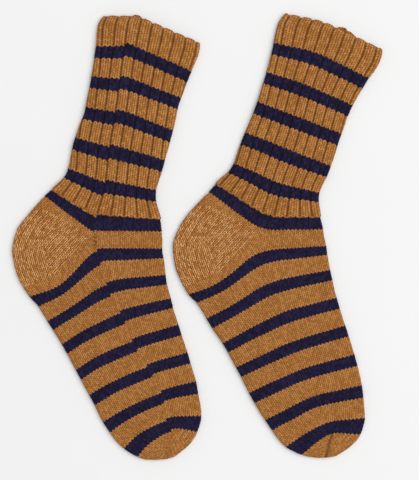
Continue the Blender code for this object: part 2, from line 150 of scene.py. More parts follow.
# Measured rounds, in mm on the floor.  A round runs across the sock from its back edge
# over a bend to its front edge; bow is how far it arches between back edge and bend.
# The columns: round, back x, back y, bend x, bend y, front x, front y, bow.
LEFT_ROUNDS = (
    (0.0, -88.6, 210.5, -56.0, 210.5, 3.0, 185.0, 0.0),
    (4.0, -92.7, 202.0, -59.5, 202.5, 1.0, 175.0, 0.0),
    (14.5, -95.5, 177.1, -66.0, 177.6, -8.2, 152.5, 0.0),
    (27.5, -100.0, 149.0, -66.0, 145.3, -17.0, 126.6, 0.0),
    (40.5, -106.2, 119.6, -69.0, 112.6, -25.0, 95.3, 0.0),
    (53.5, -116.1, 90.4, -79.5, 79.7, -32.5, 67.6, 0.0),
    (66.5, -122.7, 61.7, -89.5, 47.6, -39.5, 38.3, 0.0),
    (77.0, -138.0, 45.5, -95.5, 20.3, -34.5, 16.2, 0.0),
    (82.0, -144.0, 40.0, -97.5, 5.2, -33.0, 4.8, 0.0),
    (83.5, -158.0, 24.5, -97.5, 2.5, -33.0, 2.3, 0.0),
    (85.0, -171.0, 7.0, -97.0, -0.7, -32.5, -0.8, 0.0),
    (86.5, -175.5, -12.0, -96.5, -4.3, -32.5, -4.5, 3.0),
    (88.0, -172.0, -32.0, -95.5, -7.6, -32.5, -7.6, 5.2),
    (90.0, -159.6, -55.6, -95.0, -11.0, -32.5, -11.3, 7.0),
    (95.0, -151.1, -65.1, -91.5, -23.7, -31.0, -20.8, 3.6),
    (105.5, -140.0, -83.2, -84.5, -47.3, -28.5, -41.2, 0.7),
    (118.5, -126.4, -105.2, -71.0, -74.9, -23.2, -63.2, -1.4),
    (131.5, -113.2, -129.9, -59.5, -101.7, -15.2, -89.0, -1.9),
    (144.5, -100.2, -153.7, -45.0, -125.8, -6.7, -115.6, -1.3),
    (157.5, -86.6, -179.9, -32.5, -150.5, 1.0, -143.9, -1.8),
    (168.0, -70.5, -200.0, -29.8, -171.3, 4.5, -171.2, -2.6),
    (173.0, -57.5, -208.3, -24.5, -180.9, 0.2, -186.6, -2.3),
    (178.0, -47.5, -211.5, -27.0, -197.0, -7.5, -198.0, 0.0),
    (183.0, -38.5, -212.0, -30.0, -212.0, -21.5, -209.5, 0.0),
)
RIGHT_ROUNDS = (
    (0.0, 84.5, 213.0, 120.0, 205.5, 177.0, 178.5, 0.0),
    (4.0, 78.5, 203.0, 118.0, 196.0, 173.5, 167.5, 0.0),
    (14.5, 73.5, 179.5, 110.5, 171.0, 160.3, 147.2, 0.0),
    (27.5, 66.0, 152.0, 101.5, 140.2, 145.5, 121.0, 0.0),
    (40.5, 56.5, 123.5, 102.5, 106.0, 135.6, 93.6, 0.0),
    (53.5, 44.6, 93.9, 89.5, 75.9, 125.8, 62.6, -0.6),
    (66.5, 34.0, 65.7, 75.0, 45.7, 115.8, 38.0, -0.4),
    (77.0, 18.2, 50.7, 68.5, 19.2, 118.2, 19.4, 0.0),
    (82.0, 12.0, 43.6, 60.6, 7.2, 120.7, 7.8, 0.0),
    (83.5, -4.0, 27.0, 60.4, 3.7, 121.2, 4.4, 0.0),
    (85.0, -16.0, 10.0, 60.4, 0.3, 121.7, 1.0, 0.0),
    (86.5, -22.5, -8.0, 60.4, -4.0, 122.6, -2.5, 2.6),
    (88.0, -20.0, -28.0, 60.9, -7.8, 123.1, -5.6, 4.4),
    (90.0, -7.2, -54.6, 61.5, -12.0, 123.6, -8.0, 4.9),
    (95.0, 0.2, -62.4, 64.5, -23.8, 124.7, -16.4, 3.1),
    (105.5, 12.4, -82.0, 72.0, -47.1, 128.5, -35.6, 0.8),
    (118.5, 27.5, -105.1, 84.3, -75.7, 135.0, -62.5, -0.3),
    (131.5, 40.1, -128.2, 93.8, -103.2, 143.5, -88.8, -0.2),
    (144.5, 52.6, -152.7, 103.2, -129.2, 151.9, -116.6, -0.2),
    (157.5, 68.6, -178.8, 111.8, -155.6, 158.4, -146.5, 0.2),
    (168.0, 85.0, -199.2, 123.0, -175.2, 160.5, -171.9, -0.6),
    (173.0, 100.0, -207.0, 128.0, -185.3, 156.5, -187.5, -0.6),
    (178.0, 108.5, -209.0, 125.5, -197.0, 147.5, -198.5, 0.0),
    (183.0, 116.5, -210.0, 123.0, -210.5, 132.0, -209.0, 0.0),
)

# How far the ribs have crept from the back edge towards the front one, because the tube
# lies slightly twisted.  The columns: round, share of the row.
LEFT_CREEP = ((0, 0.0), (14, 0.02), (27, 0.04), (40, 0.07), (53, 0.12), (66, 0.165), (77, 0.18))
RIGHT_CREEP = ((0, 0.0), (14, 0.015), (27, 0.03), (40, 0.05), (53, 0.065), (66, 0.08), (77, 0.095))

# ribs_on_top: ribs on the upper layer.  furrow_at: place of a furrow on the cuff, as a share
# of the row.  jog: rounds by which the stripes step where the rounds start, jog_rib: ribs
# from that furrow to the step.  peek: how far the lower layer's rim shows past the cuff, and
# peek_at and peek_half: where, and over what half width, as shares of the row.
# strip: width of the heel's outer strip at its start and its end.  turn: inner corner of it.
# bend_round: how gently the rounds bend in the leg and in the foot, as a share of a round.
# strip_wales, flap_wales and instep_wales: wales in the strip, in the flap side of the heel
# and in the ankle stripe past the bend.  pitch: width of a wale in the foot, in mm.
# holes: how dark the painted shade is in the stretched holes at the bend beside the heel.
# toe_line: how dark the painted shade is along the line where the toe's wales end.  seed: number
# that its uneven stitches start from.
SOCKS = (
    dict(name="sock_left", rounds=LEFT_ROUNDS, creep=LEFT_CREEP, ribs_on_top=8.8,
         furrow_at=0.50, bend_round=(0.05, 0.18), peek_at=0.32, peek_half=0.10, peek=1.5,
         jog=1.0, jog_rib=-2, strip=(31.1, 27.7), turn=(-146.5, -8.1), strip_wales=9,
         flap_wales=8, instep_wales=18, pitch=3.56, holes=1.2, toe_line=0.45, seed=11),
    dict(name="sock_right", rounds=RIGHT_ROUNDS, creep=RIGHT_CREEP, ribs_on_top=9.2,
         furrow_at=0.494, bend_round=(0.12, 0.15), peek_at=0.60, peek_half=0.13, peek=3.5,
         jog=0.0, jog_rib=-4, strip=(32.5, 34.5), turn=(11.0, -5.3), strip_wales=10,
         flap_wales=8, instep_wales=17, pitch=3.67, holes=0.25, toe_line=1.5, seed=12),
)
HEEL_ROWS_DOWN = 15     # rows of the heel's strip before the turn
HEEL_ROWS_ON = 16       # and after it, two for each wale of the flap side
PLAIN_HEEL_ROWS = 3     # first rows of the heel, knitted without the pale thread
HEEL_FROM = 81.3        # the heel's piece starts at this round, below the ankle stripe
HEEL_TO = 87.2          # and ends at this one, below the foot
FOOT_OVER_HEEL = 1.2    # rounds of the foot that lie over the heel's end
FOOT_FROM = 78          # the foot's piece starts at this round at the earliest
STEP_WIDTH = 4.0        # distance from the bend over which the foot's start steps, in mm
CLIMB_REACH = 0.9       # share of the lower front part over which the rounds climb back
BEND_FADE = 0.8         # distance from the bend over which stitches lose their lean, in mm
HEEL_WALE = 3.3         # width of a wale in the heel, in mm
HEEL_PAST_BEND = 2.0    # how far the heel reaches past the bend, in mm
HEEL_RISE = 1.6         # it comes up to the surface within this many mm below the stripe
HEEL_UNDER_FOOT = 0.5   # rows of the heel that stay tucked under the foot
HEEL_SINK = 0.7         # rows in which it goes down to there
FLAP_FADE = 0.5         # rows over which the flap side's stitches lose their lean at its end
BOW_SKEW = 0.75         # how far the rounds' bow leans towards the back edge
HOLES_END = 88.5        # the stretched holes beside the heel end at this round
HOLES_HALF = 1.9        # half of their width, in mm
HOLES_APART = 1.7       # rounds from one to the next
TOE_LINE_FROM = 171.0   # the line of painted shade where the toe's wales end starts at this round
TOE_LINE_FADE = 3.0     # and is fully dark this many rounds on
TOE_LINE_HALF = 1.0     # half of its width, in mm
TOE_ROUND = 2.0         # height of a round at the toe, in mm

# Wool colours from the darkest strands to the palest, and the painted shade in the lines between
# the stitches: its colour, how dark it gets, and how wide the lines are as a share of a leg and of a
# row.
BROWN_TONES = ((0.305, 0.113, 0.023), (0.435, 0.175, 0.039), (0.59, 0.278, 0.088))
BROWN_GAP_SHADE = dict(colour=(0.075, 0.020, 0.002), share=0.5, dot=1.0, furrow=0.95,
                 width=0.32, row=0.34)
NAVY_TONES = ((0.0050, 0.0030, 0.0150), (0.0095, 0.0058, 0.0300), (0.0230, 0.0190, 0.0640))
NAVY_GAP_SHADE = dict(colour=(0.002, 0.0015, 0.005), share=0.4, dot=0.5, furrow=0.6,
                width=0.28, row=0.26)
MARLED_TONES = ((0.365, 0.134, 0.027), (0.530, 0.214, 0.050), (0.70, 0.322, 0.100))
MARLED_GAP_SHADE = dict(colour=(0.080, 0.022, 0.003), share=0.65, dot=1.0, furrow=0.0,
                  width=0.34, row=0.36)
ROW_GAP_SHARE = 0.7     # how dark the painted shade in the line between two rows is beside that between two legs

# The pale thread in the heels: it shows on this share of the legs, at a place across the leg
# that differs from one to the next.
STREAK_COLOUR = (0.88, 0.54, 0.26)
STREAK_SHARE = 0.85
STREAK_LEGS = 0.45
STREAK_FROM = 0.36
STREAK_SPREAD = 0.28
STREAK_LEAN = 0.5
STREAK_HALF = (0.08, 0.24)      # half of its width where it is fully pale, and in all
STREAK_END = 0.10               # share of a row over which it fades at both ends
DEEP_ABOVE = 0.84       # the heel's darker legs are those with noise above this
DEEP_SHARE = 0.6

# The broken lines of painted shade between pairs of wales in the heels
PAIR_LINE_WIDTH = 0.12  # half width, as a share of a pair
PAIR_LINE_SHARE = 0.8   # how dark they get
PAIR_PATCH_LONG = 0.8   # how fast their patches change along the wale, against across it
PAIR_PATCH = (0.36, 0.60)       # noise at which a line starts to show and is whole

# The yarn: strands in a leg, how many there are along a row and how much they lean, and
# how fast its plies turn across a leg and along a row.
STRANDS_ACROSS = 6.0
STRANDS_ALONG = 1.7
STRANDS_LEAN = -3.0
PLIES_ACROSS = 8.0
PLIES_ALONG = 18.0
SIDE_CHANGE = (0.49, 0.51)      # where a stitch's left leg changes to its right one

# How much each kind of unevenness counts in the colour, and the sums that give the darkest
# and the palest strands.
TONE_BY_LEG = 0.24
TONE_BY_STRAND = 0.30
TONE_BY_HEATHER = 0.14
TONE_BY_FUZZ = 0.22
TONE_BY_CLOUD = 0.10
TONE_SPAN = (0.25, 0.75)
FUZZ_SCALE = 4200.0
HEATHER_SCALE = 520.0
CLOUD_SCALE = 28.0

# The fibres' relief: its depth in mm, and how much each kind of unevenness counts in it
FIBRE_DEPTH = 0.16
RELIEF_BY_TWIST = 0.45
RELIEF_BY_STRAND = 0.5
RELIEF_BY_FUZZ = 0.55

WOOL_ROUGHNESS = 0.95
WOOL_GLOSS = 0.2
WOOL_SHEEN = 0.12
WOOL_SHEEN_ROUGHNESS = 0.6

# Floor and light, in metres apart from the grain's depth.  The floor's mottling goes from
# MOTTLE_SHARE of its colour to the whole colour.
FLOOR_HALF = 3.0
FLOOR_COLOUR = (0.80, 0.80, 0.80)
FLOOR_ROUGHNESS = 0.9
FLOOR_GLOSS = 0.1
MOTTLE_SCALE = 14.0
MOTTLE_SHARE = 0.992
MOTTLE_SPAN = (0.3, 0.7)
GRAIN_SCALE = 900.0
GRAIN_DEPTH = 0.02      # in mm
GRAIN_STRENGTH = 0.5
AIR_COLOUR = (1.0, 1.0, 1.0)
AIR_STRENGTH = 0.51
KEY_PLACE = (2.1, 0.5, 4.5)
KEY_SIZE = 6.0
KEY_POWER = 233.0

# Camera, in mm: how high it is, the place that it looks straight down on, and the height of
# the floor in the picture.
SENSOR = 36.0
CAMERA_HEIGHT = 1600.0
CAMERA_OVER = (11.26, -3.04)
VIEW_HEIGHT = 458.3

# Numbers of the wools in each piece, and kinds of rows of points in a wall
BROWN, NAVY, MARLED = range(3)
OUTER, ROLLED, INNER = range(3)
UV = "knit"
# Attribute that says where painted shade darkens the wool: the rib furrows' lines, the toe line and the
# holes beside the heel
PAINTED_SHADE_MARK = "furrow"

# Rounds of the inside walls, which are plain
LEG_INSIDE = (0.6, 1.2, 2.0, 3.0, 4.0, 8.0, 20.0, 33.0, 46.0, 59.0, 70.0, 75.5)
ANKLE_INSIDE = (83.0, 82.5, 81.5, 79.0, 76.5)
FOOT_INSIDE = (81.8, 83.0, 84.5, 86.0, 87.5, 90.0, 95.0, 105.5, 118.5, 131.5, 144.5, 157.5,
               168.0, 173.0, 177.0, 179.5)
INSIDE_LATER = 0.15     # rounds by which the foot's inside starts later than its outside
ANKLE_FROM = 75         # the ankle stripe's piece is tucked under the ribs from this round


def unit(vectors):
    """The vectors with a length of 1."""
    vectors = np.asarray(vectors, float)
    return vectors / np.maximum(np.linalg.norm(vectors, axis=-1, keepdims=True), TINY)


def cross(a, b):
    """Sine of the turn from a to b, times their lengths."""
    return a[..., 0] * b[..., 1] - a[..., 1] * b[..., 0]


def smooth(t):
    """Goes softly from 0 to 1 while t does."""
    t = np.clip(t, 0, 1)
    return t * t * (3 - 2 * t)


def smooth_table(table, places):
    """Monotone cubic curve through the rows of a table, read at each place."""
    data = np.array(table, float)
    at, values = data[:, 0], data[:, 1:]
    step = np.diff(at)[:, None]
    slope = np.diff(values, axis=0) / step
    same_way = slope[:-1] * slope[1:] > 0
    first_weight = 2 * step[1:] + step[:-1]
    second_weight = step[1:] + 2 * step[:-1]
    safe_a = np.where(same_way, slope[:-1], 1.0)
    safe_b = np.where(same_way, slope[1:], 1.0)
    mean = (first_weight + second_weight) / (first_weight / safe_a + second_weight / safe_b)
    lean = np.vstack([slope[:1], np.where(same_way, mean, 0.0), slope[-1:]])
    places = np.asarray(places, float)
    i = np.clip(np.searchsorted(at, places, side="right") - 1, 0, len(at) - 2)
    width = (at[i + 1] - at[i])[:, None]
    t = (places[:, None] - at[i][:, None]) / width
    return ((1 + 2 * t) * (1 - t) ** 2 * values[i] + t * (1 - t) ** 2 * width * lean[i]
            + t * t * (3 - 2 * t) * values[i + 1] + t * t * (t - 1) * width * lean[i + 1])


def run_along(points):
    """How far each point of a line is from its start, measured along it."""
    return np.concatenate([[0], np.cumsum(np.linalg.norm(np.diff(points, axis=0), axis=1))])


class SockRounds:
    """The measured rounds of one sock as curves on the floor, in mm.

    The rounds fan out at the back edge where they go round the heel.  With side "above"
    they keep the ankle stripe's spacing there, with side "below" the foot's."""

    def __init__(self, sock, side=None):
        self.sock = sock
        self.side = None
        heel = np.arange(HEEL_START, HEEL_END, OUTLINE_STEP)
        rounds = np.unique(np.round(np.concatenate([np.arange(LAST_ROUND + 1.0), heel]), 3))
        back, bend, front, _ = self.corners(rounds)
        over_back = back[0] + PAST_CUFF * unit(back[0] - back[CUFF_RUN])
        over_front = front[0] + PAST_CUFF * unit(front[0] - front[CUFF_RUN])
        self.edge = np.vstack([over_back, back, bend[-1:], front[::-1], over_front])
        self.fine = np.arange(RIB_END - 1, SPACED_TO + 1, EDGE_STEP)
        self.along = run_along(self.corners(self.fine)[0])
        self.side = side

    def spaced(self, rounds):
        """Where the evenly spaced rounds beside the heel are at the back edge, given as the
        fanned-out rounds that end at the same place."""
        start, end = (RIB_END, HEEL_START) if self.side == "above" else (SPACED_TO, HEEL_END)
        at_start, at_end = np.interp((start, end), self.fine, self.along)
        wanted = at_start + (rounds - start) * (at_end - at_start) / (end - start)
        near = (rounds > start) == (end > start)
        return np.where(near, np.interp(wanted, self.along, self.fine), rounds)

    def corners(self, rounds):
        """Back edge, bend, front edge and bow of each round."""
        rounds = np.asarray(rounds, float)
        row = smooth_table(self.sock["rounds"], rounds)
        if self.side:
            even = smooth_table(self.sock["rounds"], self.spaced(rounds))
            row[:, [0, 1, 6]] = even[:, [0, 1, 6]]
        centre = np.array(PAIR_CENTRE)
        return row[:, 0:2] - centre, row[:, 2:4] - centre, row[:, 4:6] - centre, row[:, 6]

    def lengths(self, rounds):
        """Each row's length to the bend and past it, and how its slant widens both folds."""
        back, bend, front, _ = self.corners(rounds)
        first = np.linalg.norm(bend - back, axis=1)
        second = np.linalg.norm(front - bend, axis=1)
        before = self.corners(np.clip(rounds - 0.5, 0, LAST_ROUND))
        after = self.corners(np.clip(rounds + 0.5, 0, LAST_ROUND))
        back_slant = np.abs(cross(unit(bend - back), unit(after[0] - before[0])))
        front_slant = np.abs(cross(unit(front - bend), unit(after[2] - before[2])))
        least = 1 / EDGE_STRETCH
        return first, second, 1 / np.maximum(back_slant, least), 1 / np.maximum(front_slant, least)

    def points(self, rounds, length):
        """Points on the floor, one for each round, at a length along it from its back edge."""
        back, bend, front, bow = self.corners(rounds)
        first = np.linalg.norm(bend - back, axis=1)
        total = first + np.linalg.norm(front - bend, axis=1)
        first_way = unit(bend - back)
        second_way = unit(front - bend)
        in_leg, in_foot = self.sock["bend_round"]
        into_foot = smooth((rounds - HEEL_END) / FOOT_ROUNDING)
        rounding = (in_leg + (in_foot - in_leg) * into_foot) * total
        over = length - first
        curve = (over + rounding) ** 2 / (4 * rounding)
        past = np.where(over < -rounding, 0.0, np.where(over > rounding, over, curve))
        place = back + (length - past)[:, None] * first_way + past[:, None] * second_way
        share = np.clip(length / first, 0, 1)
        arch = bow * np.sin(math.pi * share ** BOW_SKEW) ** 2
        outward = np.stack([first_way[:, 1], -first_way[:, 0]], axis=1)
        return place + arch[:, None] * outward

    def folds(self, rounds):
        """Everything about each round's two fold edges that its points need."""
        first, second, back_wide, front_wide = self.lengths(rounds)
        total = first + second
        back_edge = np.minimum(HALF * back_wide, MOST_EDGE * total)
        front_edge = np.minimum(HALF * front_wide, MOST_EDGE * total)
        back_arc = math.pi / 2 * (HALF + back_edge) / 2
        front_arc = math.pi / 2 * (HALF + front_edge) / 2
        return dict(total=total, back_edge=back_edge, front_edge=front_edge,
                    back_arc=back_arc, front_arc=front_arc,
                    to_back=first - back_edge + back_arc, to_front=second - front_edge + front_arc)

    def to_edge(self, places):
        """Distance on the floor to the folded outline, and the way out of the sock there."""
        start = self.edge[:-1]
        run = self.edge[1:] - start
        square = (run ** 2).sum(axis=1)
        out = np.stack([run[:, 1], -run[:, 0]], axis=1) / np.sqrt(square)[:, None]
        distance = np.empty(len(places))
        way = np.empty((len(places), 2))
        for first in range(0, len(places), CHUNK):
            offset = places[first:first + CHUNK, None, :] - start[None]
            t = np.clip((offset * run).sum(axis=2) / square, 0, 1)
            gap = offset - t[..., None] * run
            far = (gap ** 2).sum(axis=2)
            near = far.argmin(axis=1)
            distance[first:first + CHUNK] = np.sqrt(far[np.arange(len(near)), near])
            way[first:first + CHUNK] = out[near]
        return distance, way


def fold_angle(distance):
    """How far round the fold edge a point is: 0 on the outline, a quarter turn when flat."""
    return np.arccos(1 - np.clip(distance / HALF, 0, 1))


def bent_wave(main, other, wave):
    """A wave whose crests bend, and a weaker one that crosses it."""
    length, bend_length, bend, weaker_length, slant = wave
    strong = np.sin(main / length + bend * np.sin(other / bend_length))
    return strong + WOBBLE_WEAKER * np.sin(other / weaker_length + main / slant)


def wobble(points):
    """Slow wandering of the hand-knitted cloth, the same wherever two pieces meet."""
    x, y = points[:, 0], points[:, 1]
    across = bent_wave(x, y, WOBBLE_ACROSS)
    along = bent_wave(y, x, WOBBLE_ALONG)
    up = sum(np.sin(x / in_x + y / in_y + shift) for in_x, in_y, shift in WOBBLE_UP)
    return WOBBLE * np.column_stack([across / 2, along / 2, up / 2])


def stand_out(rows, place, under, angle, stand, highest):
    """Points that stand out of the cloth's mean surface.

    place is on the floor, under marks the lower layer, angle is how far round a fold edge
    the point is, and highest is how far the piece's highest stitches stand out, because
    the lower layer rests on them."""
    distance, way = rows.to_edge(place)
    angle = np.minimum(angle, fold_angle(distance + EDGE_SLACK))
    lean = np.cos(angle)
    steep = np.sin(angle)
    swell = SWELL * smooth(distance / SWELL_REACH)
    height = HALF + np.where(under, -HALF * steep, HALF * steep + swell)
    direction = np.column_stack([way * lean[:, None], np.where(under, -steep, steep)])
    stand = stand - highest * np.where(under, steep, 0.0)
    points = np.column_stack([place, height]) + stand[:, None] * direction
    shift = wobble(points)
    shift[:, 2] *= np.where(under, 0.0, steep)
    points = points + shift
    points[:, 2] = np.maximum(points[:, 2], 0.0)
    return points


def on_row(rows, rounds, run, from_front, under, stand, highest, closed=None):
    """Points on the cloth by round and by the way round from a fold edge."""
    fold = rows.folds(rounds)
    around = fold["to_back"] + fold["to_front"]
    run = np.where(from_front, around - run, run)
    back_arc, front_arc = fold["back_arc"], fold["front_arc"]
    at_back = run < back_arc
    at_front = around - run < front_arc
    back_turn = np.clip(run / back_arc, 0, 1) * math.pi / 2
    front_turn = np.clip((around - run) / front_arc, 0, 1) * math.pi / 2
    length = np.where(at_back, fold["back_edge"] * (1 - np.cos(back_turn)),
                      fold["back_edge"] + run - back_arc)
    near_front = fold["total"] - fold["front_edge"] * (1 - np.cos(front_turn))
    length = np.where(at_front, near_front, length)
    angle = np.minimum(back_turn, front_turn)
    if closed is not None:
        angle = np.where(closed, 0.0, angle)
    place = rows.points(rounds, length)
    place = place + peek_shift(rows, rounds, run / around, under)
    return stand_out(rows, place, under, angle, stand, highest)


def peek_shift(rows, rounds, share, under):
    """How the lower layer's rim is pushed out past the upper one near the cuff."""
    sock = rows.sock
    back, _, front, _ = rows.corners(np.array([0.0]))
    way = unit(front[0] - back[0])
    outward = np.array([-way[1], way[0]])
    near = 1 - smooth(np.abs(share - sock["peek_at"]) / sock["peek_half"])
    amount = sock["peek"] * near * np.clip(1 - rounds / PEEK_ROUNDS, 0, 1)
    return np.where(under, amount, 0.0)[:, None] * outward


def chevron(across):
    """How far a point of a stitch lies along its wale, in rounds: its legs spread down."""
    return LEAN * (np.abs(2 * (across % 1) - 1) - 0.5)


def notch(row):
    """Depth of the line between two rounds."""
    return NOTCH * 0.5 * (1 + np.cos(2 * math.pi * row))


def stitch(sock, wale, row):
    """How far a plain stitch stands out."""
    across = wale % 1
    leg = np.abs(np.sin(2 * math.pi * across)) ** LEG_POWER
    depth = np.where(np.abs(across - 0.5) < 0.25, SPLIT, LEG_HEIGHT)
    rng = np.random.default_rng(sock["seed"])
    uneven = rng.normal(0.0, UNEVEN, UNEVEN_REPEAT)
    which_leg = np.floor(2 * wale).astype(int) % UNEVEN_REPEAT[0]
    which_row = np.floor(row).astype(int) % UNEVEN_REPEAT[1]
    taller = leg * LEG_HEIGHT * uneven[which_leg, which_row]
    return PROUD + taller - depth * (1 - leg) - notch(row)


def seam(stand, distance):
    """Sinks the stitches to the level of a seam line, by their distance from it."""
    t = smooth(distance / SEAM_FADE)
    return SEAM_DEPTH + (stand - SEAM_DEPTH) * t


def tuck(stand, share, level=TUCKED):
    """Raises the stitches from the level of a tucked edge to their own, by a share."""
    return level + (stand - level) * smooth(share)


def in_stripe(rounds):
    """Whether rounds are navy."""
    since = rounds - FIRST_STRIPE
    within = (since >= 0) & (since < STRIPES * STRIPE_REPEAT)
    return within & (since % STRIPE_REPEAT < STRIPE_ROUNDS)


def striped(kind, count, half_row, first=0):
    """Gives the colours of a tube's faces: navy in the stripes of its outside from the first
    round on, and brown elsewhere.  half_row goes from a row of points to its faces' middle."""
    def yarn(column, row):
        middle = count[row] + half_row
        shown = (kind[row] == OUTER) & (kind[row + 1] == OUTER) & (middle > first)
        return np.where(shown & in_stripe(middle), NAVY, BROWN)

    return yarn


def knit_grid(bm, columns, rows, lay, yarn):
    """Adds a grid of cloth.  lay gives the points, wales, rows and furrow marks of its
    vertices by column and row, the marks saying where painted shade darkens the wool; yarn
    gives the colour of its faces by column and row."""
    grid = bmesh.new()
    bmesh.ops.create_grid(grid, x_segments=columns, y_segments=rows, size=1)
    mesh = bpy.data.meshes.new("grid")
    grid.to_mesh(mesh)
    grid.free()
    flat = np.empty(3 * len(mesh.vertices))
    mesh.vertices.foreach_get("co", flat)
    column = np.rint((flat[0::3] + 1) / 2 * columns).astype(int)
    row = np.rint((flat[1::3] + 1) / 2 * rows).astype(int)
    points, wale, count, mark = lay(column, row)
    mesh.vertices.foreach_set("co", (points * MM).ravel())
    corner = np.empty(len(mesh.loops), int)
    mesh.loops.foreach_get("vertex_index", corner)
    layer = mesh.uv_layers.new(name=UV)
    layer.data.foreach_set("uv", np.column_stack([wale, count])[corner].ravel())
    furrow = mesh.attributes.new(PAINTED_SHADE_MARK, "FLOAT", "POINT")
    furrow.data.foreach_set("value", mark)
    face_column = column[corner].reshape(-1, 4).min(axis=1)
    face_row = row[corner].reshape(-1, 4).min(axis=1)
    mesh.polygons.foreach_set("material_index", yarn(face_column, face_row))
    bm.from_mesh(mesh)
    bpy.data.meshes.remove(mesh)


def finish_cloth(bm, sock, part, materials):
    name = sock["name"] + "_" + part
    bmesh.ops.remove_doubles(bm, verts=bm.verts, dist=WELD * MM)
    # Faces that the weld closes up leave loose edges, and small holes where wales end.
    loose = [edge for edge in bm.edges if edge.is_wire]
    bmesh.ops.delete(bm, geom=loose, context="EDGES")
    bmesh.ops.holes_fill(bm, edges=[edge for edge in bm.edges if edge.is_boundary], sides=0)
    bmesh.ops.recalc_face_normals(bm, faces=bm.faces)
    mesh = bpy.data.meshes.new(name)
    bm.to_mesh(mesh)
    bm.free()
    for material in materials:
        mesh.materials.append(material)
    mesh.shade_smooth()
    piece = bpy.data.objects.new(name, mesh)
    bpy.context.scene.collection.objects.link(piece)
    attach(piece, "root")
    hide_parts(sock["name"])


def leg_wales():
    """Where the columns of points lie round the leg, counted in wales from a furrow."""
    knit = [wale + point for wale in range(1, RIB_WALES) for point in WALE_POINTS]
    rib = [PURL_MIDDLE] + knit + [RIB_WALES]
    around = [wale + RIB_WALES * number for number in range(RIBS_ROUND) for wale in rib]
    return np.array(around + [RIB_WALES * RIBS_ROUND + PURL_MIDDLE])


def first_furrow(sock):
    """Ribs from the back edge of the cuff to the furrow that the wales are counted from."""
    return sock["furrow_at"] * sock["ribs_on_top"] + sock["jog_rib"]


def leg_rounds(sock, wale, purl, at, layer):
    """How far down the leg each point is, in rounds.  The rounds are a spiral, which has
    risen by a round where it comes back to its start."""
    on_top = sock["ribs_on_top"]
    past_top = wale / RIB_WALES + first_furrow(sock) - on_top
    risen = np.clip(past_top / (RIBS_ROUND - on_top), 0, 1)
    off = sock["jog"] * (risen - 0.5)
    spread = np.where(purl, 0.5 * LEAN, chevron(wale))
    rounds = np.maximum(at + off, CUFF_START)
    spread = spread * np.clip((rounds - CUFF_START) / CUFF_SPREAD, 0, 1)
    rounds = np.maximum(rounds + spread, CUFF_START)
    rounds = np.where(layer == ROLLED, CUFF_START * (1 - np.sin(at)), rounds)
    return np.where(layer == INNER, at, rounds)


def share_of_rib(within, purl, rounds):
    """How far across its rib each point is.  The purl wale widens in the plain rounds."""
    plain = smooth((rounds - RIB_END + RIB_FADE) / (2 * RIB_FADE))
    half = PURL_HALF + (PURL_PLAIN - PURL_HALF) * plain
    on_knit = half + (1 - 2 * half) * (within - 1) / 2
    return np.where(purl, (within - PURL_MIDDLE) * 2 * half, on_knit)


def round_leg(rows, rounds, ribs):
    """How far round the leg each point is from the back edge, in mm, and whether it is on
    the lower layer, by its ribs from the first furrow."""
    sock = rows.sock
    on_top = sock["ribs_on_top"]
    creep = smooth_table(sock["creep"], np.clip(rounds, 0, RIB_END))[:, 0]
    place = (ribs + first_furrow(sock) + creep * on_top) % RIBS_ROUND
    under = place > on_top
    turn = np.where(under, (RIBS_ROUND - place) / (RIBS_ROUND - on_top), place / on_top)
    fold = rows.folds(rounds)
    return turn * (fold["to_back"] + fold["to_front"]), under


def rib_back(rounds, beside):
    """How far the rib's round back stands out, and how dark the painted shade of the line in its
    furrow is, at a share of the rib beside the furrow."""
    ribbed = smooth((RIB_END + RIBS_PAST - rounds) / RIB_FADE)
    furrow = np.exp(-(beside / FURROW_HALF) ** 2) * ribbed
    back = RIB_HEIGHT * (1 - (1 - 2 * beside) ** RIB_POWER) * ribbed - FURROW * furrow
    return back, np.exp(-(beside / LINE_HALF) ** 2) * ribbed


def build_leg(sock, materials):
    """The ribbed leg, from the ankle stripe up to the rolled rim and down again inside."""
    rows = SockRounds(sock)
    wales = leg_wales()
    outside = [RIB_END - step / ROWS for step in range(RIB_END * ROWS + 2)]
    rim = [math.pi * (step + 1) / RIM_STEPS for step in range(RIM_STEPS)]
    count = np.array(outside + rim + list(LEG_INSIDE) + [RIB_END])
    inside = [INNER] * len(LEG_INSIDE)
    kind = np.array([OUTER] * len(outside) + [ROLLED] * len(rim) + inside + [OUTER])

    def lay(column, row):
        wale, at, layer = wales[column], count[row], kind[row]
        rib = np.floor(wale / RIB_WALES + TINY)
        within = wale - RIB_WALES * rib
        purl = within < 1 - TINY
        rounds = leg_rounds(sock, wale, purl, at, layer)
        share = share_of_rib(within, purl, rounds)
        run, under = round_leg(rows, rounds, rib + share)
        beside = np.minimum(share % 1, 1 - share % 1)
        back, line = rib_back(rounds, beside)
        relief = np.where(purl, PROUD - notch(at), stitch(sock, wale, at))
        ease = smooth((rounds - CUFF_START) / CUFF_EASE)
        stand = back * (CUFF_RIB + (1 - CUFF_RIB) * ease) + relief * ease
        rolled = CUFF_RIB * back * (1 + np.cos(at)) / 2 - RIM * (1 - np.cos(at))
        stand = np.where(layer == ROLLED, rolled, stand)
        stand = np.where(layer == INNER, -WALL, stand)
        # The furrows draw the cuff's edge in.
        scallop = SCALLOP * np.exp(-(beside / SCALLOP_HALF) ** 2) - CUFF_OUT
        rounds = rounds + (1 - smooth(rounds / CUFF_PULL)) * scallop
        from_front = np.zeros(len(run), bool)
        points = on_row(rows, rounds, run, from_front, under, stand, RIB_HEIGHT + PROUD)
        shown = layer == OUTER
        # The mark is the painted shade of the dark line in each rib furrow.
        return points, wale, np.where(shown, at, 0.0), np.where(shown, line, 0.0)

    bm = bmesh.new()
    yarn = striped(kind, count, -0.5 / ROWS)
    knit_grid(bm, len(wales) - 1, len(count) - 1, lay, yarn)
    finish_cloth(bm, sock, "leg", materials)


# A plain tube is knitted in four parts, two on each layer, which meet at the folds and at
# the bend.  under marks those on the lower layer, front those past the bend, whose wales
# are counted from the front fold instead of the back one.
TUBE_PARTS = [(under, front) for under in (False, True) for front in (False, True)]


